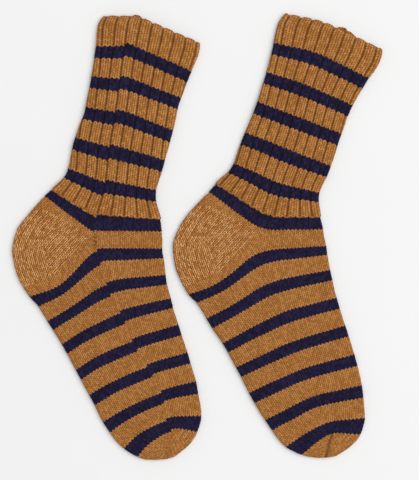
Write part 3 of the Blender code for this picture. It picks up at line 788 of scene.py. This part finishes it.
def part_wales(under, stitches):
    """Where the columns of points lie in a part of a tube, counted in wales from its fold."""
    points = UNDER_POINTS if under else WALE_POINTS
    return np.array([number + point for number in range(stitches) for point in points] + [stitches])


def to_bend(rows, rounds, front):
    """How far it is round each round from a fold edge to the bend."""
    return rows.folds(rounds)["to_front" if front else "to_back"]


def risen_by(rows, under, front, at, run):
    """How far the spiral of rounds has risen, in rounds: it steps at the upper bend, and
    climbs over the front part of the lower layer."""
    half = rows.sock["jog"] / 2
    if not front:
        return np.full(len(at), half)
    if not under:
        return np.full(len(at), -half)
    limits = [to_bend(rows, np.clip(at + step, 0, LAST_ROUND), front) for step in (-half, half)]
    reach = CLIMB_REACH * np.minimum(*limits)
    return np.clip(run / reach, 0, 1) * 2 * half - half


def on_part(rows, rounds, run, under, front, stand, closed=None):
    """Points on one part of a tube, by round and by the way from its fold edge."""
    from_front = np.full(len(run), front)
    sides = np.full(len(run), under)
    return on_row(rows, rounds, run, from_front, sides, stand, PROUD, closed)


def counted(wale, under, front):
    """The wale's number among those of all four parts."""
    return wale + FRONT_WALES_FROM * front + UNDER_WALES_FROM * under


def build_ankle(sock, materials):
    """The plain stripe between the ribs and the heel, a short tube."""
    rows = SockRounds(sock, "above")
    outside = list(np.arange((HEEL_START - ANKLE_FROM) * ROWS + 1) / ROWS + ANKLE_FROM)
    count = np.array(outside + list(ANKLE_INSIDE) + [ANKLE_FROM])
    kind = np.array([OUTER] * len(outside) + [INNER] * len(ANKLE_INSIDE) + [OUTER])
    yarn = striped(kind, count, 0.5 / ROWS)
    first = ANKLE_FROM + sock["jog"] / 2
    bm = bmesh.new()
    for under, front in TUBE_PARTS:
        stitches = sock["instep_wales"] if front else sock["strip_wales"] + sock["flap_wales"]
        wales = part_wales(under, stitches)

        def lay(column, row):
            wale, at, layer = wales[column], count[row], kind[row]
            share = wale / stitches
            run = share * to_bend(rows, at, front)
            at_heel = np.full(len(at), float(HEEL_START))
            last = HEEL_START + risen_by(rows, under, front, at_heel, run)
            at_bend = column == len(wales) - 1
            spread = np.where(at_bend, 0.0, chevron(wale))
            rounds = np.maximum(at + risen_by(rows, under, front, at, run), first)
            rounds = np.where(layer == INNER, np.minimum(at, last), rounds + spread)
            reach = to_bend(rows, rounds, front)
            run = share * reach
            stand = seam(stitch(sock, wale, at), np.where(at_bend, 0.0, reach - run))
            stand = tuck(stand, (at - RIB_END + TUCK_AHEAD) / TUCK_RISE)
            stand = np.where(layer == INNER, -WALL, stand)
            points = on_part(rows, rounds, run, under, front, stand)
            return points, counted(wale, under, front), at, np.zeros(len(run))

        knit_grid(bm, len(wales) - 1, len(count) - 1, lay, yarn)
    finish_cloth(bm, sock, "ankle", materials)


def toe_and_holes(sock, at, left):
    """How dark the painted shade is beside the bend: along a line in the toe, and in the holes beside
    the heel.
    """
    line = np.exp(-(left / TOE_LINE_HALF) ** 2) * smooth((at - TOE_LINE_FROM) / TOE_LINE_FADE)
    hole = np.exp(-(left / HOLES_HALF) ** 2) * (0.5 + 0.5 * np.cos(2 * math.pi * at / HOLES_APART))
    beside = (at > HEEL_START) & (at < HOLES_END)
    return sock["toe_line"] * line + sock["holes"] * hole * beside


def comes_out(rows, plan, runs, front):
    """The rounds in which columns of the foot come out from under the ankle stripe, and
    those in which they cross the heel's end."""
    rounds = np.arange(FOOT_FROM, HEEL_END, OUTLINE_STEP)
    fold = rows.folds(rounds)
    side = "front" if front else "back"
    at_rim = np.full(CURVE_POINTS, float(HEEL_START))
    along_rim = np.linspace(0, 1, CURVE_POINTS) * plan.above.folds(at_rim)["total"]
    rim = plan.above.points(at_rim, along_rim)
    way = plan.end - plan.corner
    heel_side = cross(plan.turn - plan.corner, way)
    from_ankle, from_heel = [], []
    for run in runs:
        past_fold = np.minimum(run, fold["to_" + side]) - fold[side + "_arc"]
        length = np.maximum(past_fold + fold[side + "_edge"], 0)
        places = rows.points(rounds, fold["total"] - length if front else length)
        hidden = places[:, 1] > np.interp(places[:, 0], rim[:, 0], rim[:, 1])
        from_ankle.append(rounds[hidden].max(initial=rounds[0]))
        hidden = cross(places - plan.corner, way[None]) * heel_side > 0
        from_heel.append(rounds[hidden].max(initial=rounds[0]))
    return np.array(from_ankle), np.minimum(np.array(from_heel), HEEL_TO)


def foot_starts(rows, plan, under, front, runs):
    """For each column of the foot, the round in which it starts, the level at which it does,
    and the round in which it comes up.

    Below the ankle stripe a column starts tucked and comes up where the stripe ends, which
    steps with the rounds.  Over the heel it starts at the level of a seam."""
    half_jog = rows.sock["jog"] / 2
    from_ankle, from_heel = comes_out(rows, plan, runs, front)
    from_heel = from_heel - FOOT_OVER_HEEL
    at_rim = np.full(len(runs), float(HEEL_START))
    step = risen_by(rows, under, front, at_rim, runs)
    from_bend = to_bend(rows, at_rim, front) - runs
    step = half_jog + (step - half_jog) * np.clip(from_bend / STEP_WIDTH, 0, 1)
    rise = np.maximum(from_ankle + step - TUCK_AHEAD, from_heel)
    hide = from_ankle - half_jog - TUCK_LENGTH
    starts = np.maximum(np.maximum(hide, from_heel), FOOT_FROM + half_jog)
    levels = TUCKED + (SEAM_DEPTH - TUCKED) * smooth(from_heel - hide)
    return starts, levels, rise


def build_foot(sock, materials):
    """The foot and toe: a tube that starts along the heel and closes flat at the toe."""
    rows = SockRounds(sock, "below")
    plan = HeelPlan(sock)
    pitch = sock["pitch"]
    outside = list(np.arange((LAST_ROUND + 1 - FOOT_FROM) * ROWS + 1) / ROWS + FOOT_FROM)
    count = np.array(list(FOOT_INSIDE[::-1]) + outside)
    kind = np.array([INNER] * len(FOOT_INSIDE) + [OUTER] * len(outside))
    yarn = striped(kind, count, 0.5 / ROWS, HEEL_START)
    bm = bmesh.new()
    for under, front in TUBE_PARTS:
        widest = to_bend(rows, np.arange(FOOT_FROM, LAST_ROUND), front).max()
        wales = part_wales(under, math.ceil(widest / pitch))
        starts, levels, rise = foot_starts(rows, plan, under, front, wales * pitch)

        def lay(column, row):
            wale, at, layer = wales[column], count[row], kind[row]
            run = wale * pitch
            rounds = np.where(layer == INNER, at, at + risen_by(rows, under, front, at, run))
            later = np.where(layer == INNER, INSIDE_LATER, 0.0)
            rounds = np.clip(rounds, starts[column] + later, LAST_ROUND)
            risen = (rounds - rise[column]) / TUCK_RISE
            left = to_bend(rows, rounds, front) - run
            inside_toe = (layer == INNER) & (at == FOOT_INSIDE[-1])
            ended = rounds >= LAST_ROUND - TINY
            fade = np.clip(left / BEND_FADE, 0, 1) * ~ended * (layer == OUTER)
            rounds = np.clip(rounds + chevron(wale) * fade, None, LAST_ROUND)
            # Both layers have points at the same places where the toe is closed.
            half_pitch = pitch / 2
            flat = ended | inside_toe
            run = np.where(flat, np.round(run / half_pitch) * half_pitch, run)
            run = np.minimum(run, to_bend(rows, rounds, front))
            stand = seam(stitch(sock, wale + FOOT_WALES_FROM, at), left)
            stand = seam(stand, (LAST_ROUND - rounds) * TOE_ROUND)
            stand = tuck(stand, risen, levels[column])
            stand = np.where(layer == INNER, -WALL, stand)
            stand = np.where(inside_toe, 0.0, stand)
            points = on_part(rows, rounds, run, under, front, stand, flat)
            points[:, 2] = np.where(flat, HALF, points[:, 2])
            # Painted shade along the toe's line and in the stretched holes beside the heel, on the
            # upper layer.
            mark = toe_and_holes(sock, at, left) * (layer == OUTER) * (not under)
            return points, counted(wale, under, front), at, mark

        knit_grid(bm, len(wales) - 1, len(count) - 1, lay, yarn)
    finish_cloth(bm, sock, "foot", materials)


def heel_wale(column):
    """The wale that a column of the heel's points is in, with the place across it."""
    points = np.array(WALE_POINTS)
    return column // len(points) + points[column % len(points)]


class HeelPlan:
    """The plan of one sock's heel: a strip of wales that follows the outline and turns, and
    the flap side inside it, whose wales end along the strip."""

    def __init__(self, sock):
        above, below = SockRounds(sock, "above"), SockRounds(sock, "below")
        self.sock = sock
        self.rows = SockRounds(sock)
        self.above = above
        at_start = np.array([HEEL_FROM])
        at_end = np.array([HEEL_TO])
        self.turn = np.array(sock["turn"]) - np.array(PAIR_CENTRE)
        self.start = above.points(at_start, np.array([sock["strip"][0]]))[0]
        self.end = below.points(at_end, np.array([sock["strip"][1]]))[0]
        first = above.lengths(at_start)[0]
        self.corner = above.points(at_start, first + HEEL_PAST_BEND)[0]
        # The outline from the heel's first round to where the foot takes over.
        rounds = np.linspace(above.spaced(at_start)[0], below.spaced(at_end)[0], CURVE_POINTS)
        self.outline = self.rows.corners(rounds)[0]
        self.length = run_along(self.outline)
        turn_at = self.rows.corners(np.array([TURN_ROUND]))[0]
        nearest = np.argmin(np.linalg.norm(self.outline - turn_at, axis=1))
        self.turn_length = self.length[nearest]
        # Heights of the ankle stripe's last round at the back fold and at the bend.
        before = above.corners(np.array([HEEL_START - 1.0]))
        after = above.corners(np.array([float(HEEL_START)]))
        self.round_heights = [np.linalg.norm(before[i] - after[i]) for i in (0, 1)]
        self.pitch = np.linalg.norm(self.turn - self.start) / HEEL_ROWS_DOWN
        self.bend_width = np.linalg.norm(self.corner - self.start)
        self.last_row = HEEL_ROWS_DOWN + HEEL_ROWS_ON
        longest = np.linalg.norm(self.end - self.corner) / self.pitch
        self.flap_rows = math.ceil(max(longest, HEEL_ROWS_DOWN))

    def outer(self, row):
        """The outline at each row of the strip."""
        down = row / HEEL_ROWS_DOWN * self.turn_length
        past_turn = self.length[-1] - self.turn_length
        on = self.turn_length + (row - HEEL_ROWS_DOWN) / HEEL_ROWS_ON * past_turn
        at = np.where(row < HEEL_ROWS_DOWN, down, on)
        return np.column_stack([np.interp(at, self.length, side) for side in self.outline.T])

    def inner(self, row):
        """The strip's inner border at each row."""
        down = np.clip(row / HEEL_ROWS_DOWN, 0, 1)[:, None]
        on = np.clip((row - HEEL_ROWS_DOWN) / HEEL_ROWS_ON, 0, 1)[:, None]
        return self.start + (self.turn - self.start) * down + (self.end - self.turn) * on

    def tucked(self, stand, row, across, to_end):
        """Sinks the first rows below the ankle stripe and the last ones below the foot.
        across is the distance in mm from the back edge."""
        at_back, at_bend = self.round_heights
        share = across / (self.sock["strip"][0] + self.bend_width)
        over = (HEEL_START - HEEL_FROM) * (at_back + (at_bend - at_back) * share)
        stand = tuck(stand, (row * self.pitch - over) / HEEL_RISE)
        return tuck(stand, (to_end - HEEL_UNDER_FOOT) / HEEL_SINK)

    def laid(self, place, angle, stand, wale, row, under):
        """Points of one side of the heel, with their wales, rows and furrow marks."""
        sides = np.full(len(row), under)
        points = stand_out(self.rows, place, sides, angle, stand, PROUD)
        return points, wale + UNDER_HEEL_FROM * under, row, np.zeros(len(row))

    def lay_strip(self, under, inner, column, row):
        strip_wales = self.sock["strip_wales"]
        wale, at = heel_wale(column), row / ROWS
        border = wale == strip_wales
        turned = at >= HEEL_ROWS_DOWN
        spread = np.where(border & turned, 0.0, chevron(wale))
        open_rim = (row == 0) | (row == self.last_row * ROWS)
        moved = np.clip(at + spread * ~open_rim, 0, self.last_row)
        moved = np.where(border & ~turned, np.minimum(moved, HEEL_ROWS_DOWN), moved)
        outer, inside = self.outer(moved), self.inner(moved)
        width = np.linalg.norm(inside - outer, axis=1)
        quarter = math.pi / 2 * HALF
        run = wale / strip_wales * (width - HALF + quarter)
        angle = np.clip(run / HALF, 0, math.pi / 2)
        reach = np.where(run < quarter, HALF * (1 - np.cos(angle)), HALF + run - quarter)
        reach = np.where(border, width, reach)
        place = outer + (inside - outer) * (reach / width)[:, None]
        number = wale + HEEL_WALES_FROM
        stand = stitch(self.sock, number, at)
        stand = np.where(turned, seam(stand, (strip_wales - wale) * HEEL_WALE), stand)
        stand = self.tucked(stand, at, run, self.last_row - at)
        stand = np.where(inner & ~open_rim, -WALL, stand)
        return self.laid(place, angle, stand, number, at, under)

    def lay_flap(self, under, inner, column, row):
        flap_wales = self.sock["flap_wales"]
        wale, at = heel_wale(column), row / ROWS
        share = column / (flap_wales * len(WALE_POINTS))
        top = self.start + (self.corner - self.start) * share[:, None]
        bottom = self.turn + (self.end - self.turn) * share[:, None]
        long = np.linalg.norm(bottom - top, axis=1) / self.pitch
        ended = at >= long - SAME_ROW
        spread = chevron(wale) * np.clip((long - at) / FLAP_FADE, 0, 1)
        edge = (row == 0) | (wale == flap_wales)
        spread = np.where(column == 0, chevron(wale), spread) * (row > 0)
        moved = np.where(ended, long, np.clip(at + spread, 0, long))
        place = top + (bottom - top) * (moved / long)[:, None]
        number = wale + HEEL_WALES_FROM + self.sock["strip_wales"]
        stand = stitch(self.sock, number, at)
        far = np.where(ended, 0.0, (long - at) * self.pitch)
        stand = np.where((column == 0) & ~ended, stand, seam(stand, far))
        across = self.sock["strip"][0] + share * self.bend_width
        stand = self.tucked(stand, at, across, HEEL_ROWS_ON * (1 - share))
        stand = np.where(inner & ~edge, -WALL, stand)
        level = np.full(len(at), math.pi / 2)
        return self.laid(place, level, stand, number, at, under)


def heel_yarn(inner, row):
    """The colours of the heel's faces: marled but for the first rows and the inside."""
    plain = inner | (row / ROWS < PLAIN_HEEL_ROWS)
    return np.where(plain, BROWN, MARLED)


def build_heel(sock, materials):
    """The turned heel: its strip goes round the back fold, the flap side lies inside it."""
    plan = HeelPlan(sock)
    sides = ((sock["strip_wales"], plan.last_row, plan.lay_strip),
             (sock["flap_wales"], plan.flap_rows, plan.lay_flap))
    bm = bmesh.new()
    for under in (False, True):
        for inner in (False, True):
            for wales, rows, lay in sides:
                knit_grid(bm, wales * len(WALE_POINTS), rows * ROWS,
                          lambda column, row: lay(under, inner, column, row),
                          lambda column, row: heel_yarn(inner, row))
    finish_cloth(bm, sock, "heel", materials)


class Net:
    """Adds nodes to a material or a node group and links them."""

    def __init__(self, tree):
        self.tree = tree

    def node(self, kind, inputs=(), **settings):
        node = self.tree.nodes.new(kind)
        for name, value in settings.items():
            setattr(node, name, value)
        for name, value in dict(inputs).items():
            self.set(node.inputs[name], value)
        return node

    def set(self, socket, value):
        if isinstance(value, bpy.types.NodeSocket):
            self.tree.links.new(value, socket)
        else:
            socket.default_value = value

    def math(self, operation, first, second=0.0):
        """One sum, on numbers or on other nodes' results."""
        node = self.node("ShaderNodeMath", {0: first, 1: second}, operation=operation)
        return node.outputs[0]

    def total(self, *parts):
        """Adds up numbers, each times its share."""
        scaled = [self.math("MULTIPLY", value, share) for value, share in parts]
        result = scaled[0]
        for value in scaled[1:]:
            result = self.math("ADD", result, value)
        return result

    def over(self, colour, mark, share, other):
        """Lays another colour over a colour where the mark is, by a share of it."""
        node = self.node("ShaderNodeMix", data_type="RGBA")
        self.set(node.inputs["Factor"], self.math("MULTIPLY", mark, share))
        self.set(node.inputs[6], colour)
        self.set(node.inputs[7], (*other, 1.0))
        return node.outputs[2]

    def fade(self, value, start, end, first=0.0, last=1.0):
        """Goes softly from first to last while the value goes from start to end."""
        node = self.node("ShaderNodeMapRange", interpolation_type="SMOOTHSTEP")
        self.set(node.inputs["Value"], value)
        self.set(node.inputs["From Min"], start)
        self.set(node.inputs["From Max"], end)
        self.set(node.inputs["To Min"], first)
        self.set(node.inputs["To Max"], last)
        return node.outputs["Result"]

    def ramp(self, value, stops):
        """Goes through the colours of the stops, each a place and a colour."""
        node = self.node("ShaderNodeValToRGB", {"Fac": value})
        marks = node.color_ramp.elements
        while len(marks) < len(stops):
            marks.new(0.5)
        for mark, (place, colour) in zip(marks, stops):
            mark.position = place
            mark.color = (*colour, 1.0)
        return node.outputs["Color"]

    def noise(self, vector, scale, detail=2.0, kind="3D"):
        node = self.node("ShaderNodeTexNoise", {"Vector": vector, "Scale": scale, "Detail": detail},
                         noise_dimensions=kind)
        return node.outputs["Fac"]

    def leg_noise(self, x, y):
        """A number that differs from one leg of a stitch to the next."""
        node = self.node("ShaderNodeTexWhiteNoise", {"Vector": self.vector(x, y)},
                         noise_dimensions="2D")
        return node.outputs["Value"]

    def vector(self, x, y):
        return self.node("ShaderNodeCombineXYZ", {"X": x, "Y": y}).outputs["Vector"]

    def fed(self, tree, inputs):
        """Places a node group with values of its own."""
        node = self.tree.nodes.new("ShaderNodeGroup")
        node.node_tree = tree
        for name, value in inputs.items():
            self.set(node.inputs[name], value)
        return node.outputs

    def give(self, results):
        """Links a node group's results to its outputs."""
        self.node("NodeGroupOutput", results)


def new_group(name, inputs, outputs):
    """An empty node group with number inputs and outputs."""
    tree = bpy.data.node_groups.new(name, "ShaderNodeTree")
    for label in inputs:
        tree.interface.new_socket(label, in_out="INPUT", socket_type="NodeSocketFloat")
    for label in outputs:
        tree.interface.new_socket(label, in_out="OUTPUT", socket_type="NodeSocketFloat")
    return tree


def stitch_marks():
    """Marks that follow the stitches, from the wale and the row in the UV map.

    Gap is 1 in the lines between the stitches' legs and Dot where those lines cross, the
    places of the painted shade; Tone differs from leg to leg, Strand and Twist are the fibres
    and the plies of the yarn, Streak is a pale thread that shows on some legs, Deep marks a
    few darker legs, and Pair the broken line of painted shade between one pair of wales and
    the next."""
    tree = new_group("stitch_marks", ("Gap Width", "Row Width", "Streak Legs"),
                     ("Gap", "Dot", "Tone", "Strand", "Twist", "Streak", "Deep", "Pair"))
    net = Net(tree)
    given = net.node("NodeGroupInput").outputs
    uv = net.node("ShaderNodeUVMap", uv_map=UV).outputs["UV"]
    split = net.node("ShaderNodeSeparateXYZ", {"Vector": uv}).outputs
    legs = net.math("MULTIPLY", split["X"], 2.0)
    across = net.math("FRACT", legs)
    leg = net.math("FLOOR", legs)
    row = net.math("FLOOR", split["Y"])
    along = net.math("FRACT", split["Y"])
    side = net.math("MINIMUM", across, net.math("SUBTRACT", 1.0, across))
    end = net.math("MINIMUM", along, net.math("SUBTRACT", 1.0, along))
    # Masks of the painted shade in the lines between the stitches' legs and rows, and where they cross.
    leg_gap = net.fade(side, 0.0, given["Gap Width"], 1.0, 0.0)
    row_gap = net.fade(end, 0.0, given["Row Width"], 1.0, 0.0)
    dot = net.math("MULTIPLY", leg_gap, row_gap)
    gap = net.math("MAXIMUM", leg_gap, net.math("MULTIPLY", row_gap, ROW_GAP_SHARE))
    tone, other = net.leg_noise(leg, row), net.leg_noise(row, leg)
    # The fibres lean with the leg, one way in a stitch's left leg and the other in its right.
    lean = net.fade(net.math("FRACT", split["X"]), *SIDE_CHANGE, -1.0, 1.0)
    slide = net.math("MULTIPLY", net.math("SUBTRACT", along, 0.5), lean)
    strand_x = net.math("MULTIPLY", legs, STRANDS_ACROSS)
    strand_x = net.math("ADD", strand_x, net.math("MULTIPLY", slide, STRANDS_LEAN))
    strand_y = net.math("MULTIPLY", split["Y"], STRANDS_ALONG)
    strand = net.noise(net.vector(strand_x, strand_y), 1.0, 2.0, "2D")
    turn = net.math("MULTIPLY", across, PLIES_ACROSS)
    turn = net.math("ADD", turn, net.math("MULTIPLY", split["Y"], PLIES_ALONG))
    twist = net.math("ABSOLUTE", net.math("SINE", net.math("MULTIPLY", turn, 0.5)))
    shown = net.math("LESS_THAN", tone, given["Streak Legs"])
    middle = net.math("ADD", STREAK_FROM, net.math("MULTIPLY", other, STREAK_SPREAD))
    middle = net.math("ADD", middle, net.math("MULTIPLY", slide, STREAK_LEAN))
    off = net.math("ABSOLUTE", net.math("SUBTRACT", across, middle))
    streak = net.math("MULTIPLY", net.fade(off, *STREAK_HALF, 1.0, 0.0), shown)
    streak = net.math("MULTIPLY", streak, net.fade(end, 0.0, STREAK_END))
    deep = net.math("GREATER_THAN", tone, DEEP_ABOVE)
    # The broken line of painted shade between one pair of wales and the next.
    pair = net.math("FRACT", net.math("MULTIPLY", split["X"], 0.5))
    beside = net.math("ABSOLUTE", net.math("SUBTRACT", pair, 0.5))
    patch_y = net.math("MULTIPLY", split["Y"], PAIR_PATCH_LONG)
    patch = net.noise(net.vector(split["X"], patch_y), 1.0, 1.0, "2D")
    line = net.fade(beside, 0.0, PAIR_LINE_WIDTH, 1.0, 0.0)
    line = net.math("MULTIPLY", line, net.fade(patch, *PAIR_PATCH))
    net.give({"Gap": gap, "Dot": dot, "Tone": other, "Strand": strand, "Twist": twist,
              "Streak": streak, "Deep": deep, "Pair": line})
    return tree


def wool_fibres():
    """Unevenness of wool that doesn't follow the stitches: Fuzz is the finest, Heather
    changes within a few stitches and Cloud over the palm of a hand."""
    tree = new_group("wool_fibres", ("Fuzz Scale", "Heather Scale", "Cloud Scale"),
                     ("Fuzz", "Heather", "Cloud"))
    net = Net(tree)
    given = net.node("NodeGroupInput").outputs
    place = net.node("ShaderNodeTexCoord").outputs["Object"]
    net.give({"Fuzz": net.noise(place, given["Fuzz Scale"], 3.0),
              "Heather": net.noise(place, given["Heather Scale"], 2.0),
              "Cloud": net.noise(place, given["Cloud Scale"], 2.0)})
    return tree


def wool(name, marks, fibres, colours, gap, streak=None):
    """Matt knitted wool.  colours go from the darkest strands to the palest, gap gives the
    painted shade in the lines between the stitches, where they cross and along the furrow marks,
    and streak is the colour of a thread carried along."""
    material = bpy.data.materials.new(name)
    material.use_nodes = True
    net = Net(material.node_tree)
    shader = material.node_tree.nodes["Principled BSDF"]
    mark = net.fed(marks, {"Gap Width": gap["width"], "Row Width": gap["row"],
                           "Streak Legs": STREAK_LEGS})
    fibre = net.fed(fibres, {"Fuzz Scale": FUZZ_SCALE, "Heather Scale": HEATHER_SCALE,
                             "Cloud Scale": CLOUD_SCALE})
    furrow = net.node("ShaderNodeAttribute", attribute_name=PAINTED_SHADE_MARK).outputs["Fac"]
    tone = net.total((mark["Tone"], TONE_BY_LEG), (mark["Strand"], TONE_BY_STRAND),
                     (fibre["Heather"], TONE_BY_HEATHER), (fibre["Fuzz"], TONE_BY_FUZZ),
                     (fibre["Cloud"], TONE_BY_CLOUD))
    tone = net.fade(tone, *TONE_SPAN)
    colour = net.ramp(tone, [(0.0, colours[0]), (0.5, colours[1]), (1.0, colours[2])])
    if streak:
        colour = net.over(colour, mark["Deep"], DEEP_SHARE, colours[0])
        colour = net.over(colour, mark["Streak"], STREAK_SHARE, streak)
    # Painted shade: the lines between the stitches, their crossings, the heels' lines between pairs of
    # wales, and the furrow marks of the rib furrows, the toe line and the holes beside the heel.
    colour = net.over(colour, mark["Gap"], gap["share"], gap["colour"])
    colour = net.over(colour, mark["Dot"], gap["dot"], gap["colour"])
    if streak:
        colour = net.over(colour, mark["Pair"], PAIR_LINE_SHARE, gap["colour"])
    colour = net.over(colour, furrow, gap["furrow"], gap["colour"])
    net.set(shader.inputs["Base Color"], colour)
    height = net.total((mark["Twist"], RELIEF_BY_TWIST), (mark["Strand"], RELIEF_BY_STRAND),
                       (fibre["Fuzz"], RELIEF_BY_FUZZ))
    bump = net.node("ShaderNodeBump", {"Height": height, "Distance": FIBRE_DEPTH * MM, "Strength": 1.0})
    net.set(shader.inputs["Normal"], bump.outputs["Normal"])
    shader.inputs["Roughness"].default_value = WOOL_ROUGHNESS
    shader.inputs["Specular IOR Level"].default_value = WOOL_GLOSS
    shader.inputs["Sheen Weight"].default_value = WOOL_SHEEN
    shader.inputs["Sheen Roughness"].default_value = WOOL_SHEEN_ROUGHNESS
    shader.inputs["Sheen Tint"].default_value = (*colours[2], 1.0)
    return material


def brown_wool(marks, fibres):
    return wool("brown_wool", marks, fibres, BROWN_TONES, BROWN_GAP_SHADE)


def navy_wool(marks, fibres):
    return wool("navy_wool", marks, fibres, NAVY_TONES, NAVY_GAP_SHADE)


def marled_wool(marks, fibres):
    return wool("marled_heel_wool", marks, fibres, MARLED_TONES, MARLED_GAP_SHADE, STREAK_COLOUR)


def floor_card():
    """Matt white card with hardly visible mottling."""
    material = bpy.data.materials.new("floor")
    material.use_nodes = True
    net = Net(material.node_tree)
    shader = material.node_tree.nodes["Principled BSDF"]
    place = net.node("ShaderNodeTexCoord").outputs["Object"]
    mottle = net.noise(place, MOTTLE_SCALE, 3.0)
    low = tuple(value * MOTTLE_SHARE for value in FLOOR_COLOUR)
    stops = list(zip(MOTTLE_SPAN, (low, FLOOR_COLOUR)))
    net.set(shader.inputs["Base Color"], net.ramp(mottle, stops))
    grain = net.noise(place, GRAIN_SCALE, 2.0)
    bump = net.node("ShaderNodeBump", {"Height": grain, "Distance": GRAIN_DEPTH * MM,
                                       "Strength": GRAIN_STRENGTH})
    net.set(shader.inputs["Normal"], bump.outputs["Normal"])
    shader.inputs["Roughness"].default_value = FLOOR_ROUGHNESS
    shader.inputs["Specular IOR Level"].default_value = FLOOR_GLOSS
    return material


def build_floor():
    """The plain pale floor that the socks lie on."""
    bm = bmesh.new()
    bmesh.ops.create_grid(bm, x_segments=1, y_segments=1, size=FLOOR_HALF)
    mesh = bpy.data.meshes.new("floor")
    bm.to_mesh(mesh)
    bm.free()
    mesh.materials.append(floor_card())
    floor = bpy.data.objects.new("floor", mesh)
    bpy.context.scene.collection.objects.link(floor)


def light_and_camera():
    """Pale light from all round, a large soft lamp, and the camera straight above."""
    scene = bpy.context.scene
    scene.view_settings.view_transform = "Standard"
    world = bpy.data.worlds.new("studio")
    world.use_nodes = True
    air = world.node_tree.nodes["Background"]
    air.inputs["Color"].default_value = (*AIR_COLOUR, 1.0)
    air.inputs["Strength"].default_value = AIR_STRENGTH
    scene.world = world
    key = bpy.data.lights.new("key", "AREA")
    key.shape = "DISK"
    key.size = KEY_SIZE
    key.energy = KEY_POWER
    lamp = bpy.data.objects.new("key", key)
    lamp.location = KEY_PLACE
    lamp.rotation_mode = "QUATERNION"
    lamp.rotation_quaternion = lamp.location.to_track_quat("Z", "Y")
    scene.collection.objects.link(lamp)
    camera = bpy.data.cameras.new("camera")
    camera.sensor_width = SENSOR
    camera.lens = SENSOR * CAMERA_HEIGHT / VIEW_HEIGHT
    eye = bpy.data.objects.new("camera", camera)
    eye.location = (CAMERA_OVER[0] * MM, CAMERA_OVER[1] * MM, CAMERA_HEIGHT * MM)
    scene.collection.objects.link(eye)
    scene.camera = eye


marks, fibres = stitch_marks(), wool_fibres()
wools = [brown_wool(marks, fibres), navy_wool(marks, fibres), marled_wool(marks, fibres)]
for sock in SOCKS:
    build_leg(sock, wools)
    build_ankle(sock, wools)
    build_heel(sock, wools)
    build_foot(sock, wools)
build_floor()
light_and_camera()
